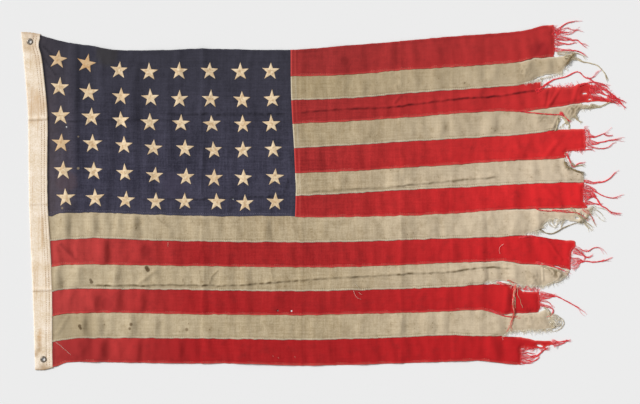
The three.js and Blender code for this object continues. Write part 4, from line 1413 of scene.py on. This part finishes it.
# Rows of lockstitch, drawn as short raised stitches; `rise` is for the middle and the two ends of each
stitch = {"pitch": 6.0, "uneven": (0.94, 1.06), "length": 3.4, "radius": 0.5, "rows": (1.8, 5.6),
          "rise": (0.18, -0.2), "cantonRise": (0.3, -0.1), "wander": 0.25, "downWander": 0.2, "inset": 3,
          "beforeTorn": 10, "cantonEnd": 752, "side": {"along": 762, "inset": 11, "top": 4, "foot": 8},
          "headingEnds": (-10, -934)}


# Stitches from `start` to `end`; `place` gives x, y and height for a place along the row and an offset
def stitchRow(start, end, place, colour, draw, wander=stitch["wander"], rise=stitch["rise"]):
    strands = []
    forward = 1 if end > start else -1
    along = start
    while (end - along) * forward > 0:
        points = []
        for step in (0, 0.5, 1):
            x, y, z = place(along + forward * stitch["length"] * step, draw.uniform(-wander, wander))
            points.append(placed(x, y, z + (rise[0] if step == 0.5 else rise[1])))
        strands.append({"points": points, "radii": [stitch["radius"]] * 3, "colour": colour})
        along += forward * stitch["pitch"] * draw.uniform(*stitch["uneven"])
    return strands


def bandHeight(x, y):
    return clothSurface(x, y)[0] + seam["lift"]


# Two rows along the felled seam at a stripe's foot
def seamStrands(number, colour, draw):
    strands = []
    lower = edges[number]
    end = min(min(x for x, _ in tornEnds[number]) - stitch["beforeTorn"], lower[-1][0])
    start = (cantonEdge if number <= 7 else clothHoist)(lower[0][1]) + stitch["inset"]
    pitchX, pitchY = seam["puckerPitch"]
    for row in stitch["rows"]:
        pucker = seam["pucker"] * math.exp(-row / seam["puckerReach"])

        def onSeam(x, offset):
            y = edgeAt(number, x) + row + offset
            return x, y, bandHeight(x, y) + pucker * perlin(x / pitchX, y / pitchY, 3.3)

        strands += stitchRow(start, end, onSeam, colour, draw)
    return strands


# One row where a short stripe is felled to the canton
def sideStrands(number, colour, draw):
    row = stitch["side"]
    top = edgeAt(number - 1, row["along"]) - row["top"]
    bottom = edgeAt(number, row["along"]) + row["foot"]

    def besideCanton(y, offset):
        x = cantonEdge(y) + row["inset"] + offset
        return x, y, bandHeight(x, y)

    return stitchRow(top, bottom, besideCanton, colour, draw, wander=stitch["downWander"])


def cantonStrands(draw):
    def onFoot(x, offset):
        y = edgeAt(7, x) + stitch["rows"][1] + offset
        return x, y, bandHeight(x, y)

    start = clothHoist(edges[7][0][1]) + stitch["inset"]
    return stitchRow(start, stitch["cantonEnd"], onFoot, seamBlue, draw, rise=stitch["cantonRise"])


def headingStrands(draw):
    strands = []
    for inset in heading["stitchRows"]:

        def onHeading(y, offset):
            return xAt(headingInner, y) - inset + offset, y, heading["thickness"]

        strands += stitchRow(*stitch["headingEnds"], onHeading, headThread, draw, stitch["downWander"])
    return strands


def strandPiece(name, strands):
    curve = bpy.data.curves.new(name, "CURVE")
    curve.dimensions = "3D"
    curve.bevel_depth = 1
    curve.bevel_resolution = 0
    curve.use_fill_caps = True
    for material in yarnMaterials:
        curve.materials.append(material)
    for strand in strands:
        spline = curve.splines.new("POLY")
        spline.points.add(len(strand["points"]) - 1)
        spline.points.foreach_set("co", [value for point in strand["points"] for value in (*point, 1)])
        spline.points.foreach_set("radius", [r * mm for r in strand["radii"]])
        spline.material_index = strand["colour"]
    holder = bpy.data.objects.new(name + "_curve", curve)
    bpy.context.collection.objects.link(holder)
    bpy.context.view_layer.update()
    mesh = bpy.data.meshes.new_from_object(holder.evaluated_get(bpy.context.evaluated_depsgraph_get()))
    bpy.data.objects.remove(holder)
    mesh.name = name
    mesh.polygons.foreach_set("use_smooth", [True] * len(mesh.polygons))
    return addPiece(name, mesh)


def sewStripe(number):
    draw = random.Random(100 + number)
    loose = []
    for bundle in bundles[number]:
        loose += bundleStrands(number, bundle, draw)
    loose += fuzzStrands(number, draw)
    for stripe, *path in strays:
        if stripe == number:
            loose += bundleStrands(number, twist(1, 0, *path, **strayLook), draw)
    looseYarn = strandPiece(f"stripe_{number}_loose_yarn", loose)
    colour = seamRed if dyeOf(number) == "red" else seamTan
    sewn = seamStrands(number, colour, draw)
    if number <= 7:
        sewn += sideStrands(number, colour, draw)
    stitches = strandPiece(f"stripe_{number}_stitches", sewn)


for stripeNumber in range(1, 14):
    sewStripe(stripeNumber)
cantonStitches = strandPiece("canton_stitches", cantonStrands(random.Random(14)))
headingStitches = strandPiece("heading_stitches", headingStrands(random.Random(7)))
print("yarn and stitches made")

# Floor and soft studio light, brighter from the upper left so that the folds show
studio = {"floor": "EBEBEB", "floorHalf": 9, "world": 0.42, "sunToward": (-0.78, 0.42, 0.6), "sun": 3.3,
          "sunAngle": 14}


def makeStudio():
    bm = bmesh.new()
    bmesh.ops.create_grid(bm, x_segments=1, y_segments=1, size=studio["floorHalf"])
    mesh = bpy.data.meshes.new("floor")
    bm.to_mesh(mesh)
    bm.free()
    floor = bpy.data.objects.new("floor", mesh)
    bpy.context.collection.objects.link(floor)
    material, tree, _ = newMaterial("pale paper backdrop")
    finishMaterial(tree, studio["floor"], [], None, {"Roughness": 0.9, "Specular IOR Level": 0.1})
    mesh.materials.append(material)
    world = bpy.data.worlds.new("studio")
    world.use_nodes = True
    world.node_tree.nodes["Background"].inputs[0].default_value = (1, 1, 1, 1)
    world.node_tree.nodes["Background"].inputs[1].default_value = studio["world"]
    bpy.context.scene.world = world
    data = bpy.data.lights.new("key", "SUN")
    data.energy = studio["sun"]
    data.angle = math.radians(studio["sunAngle"])
    light = bpy.data.objects.new("key", data)
    light.rotation_euler = (-Vector(studio["sunToward"])).to_track_quat("-Z", "Y").to_euler()
    bpy.context.collection.objects.link(light)
    bpy.context.scene.view_settings.view_transform = "Standard"


makeStudio()
print("studio made")
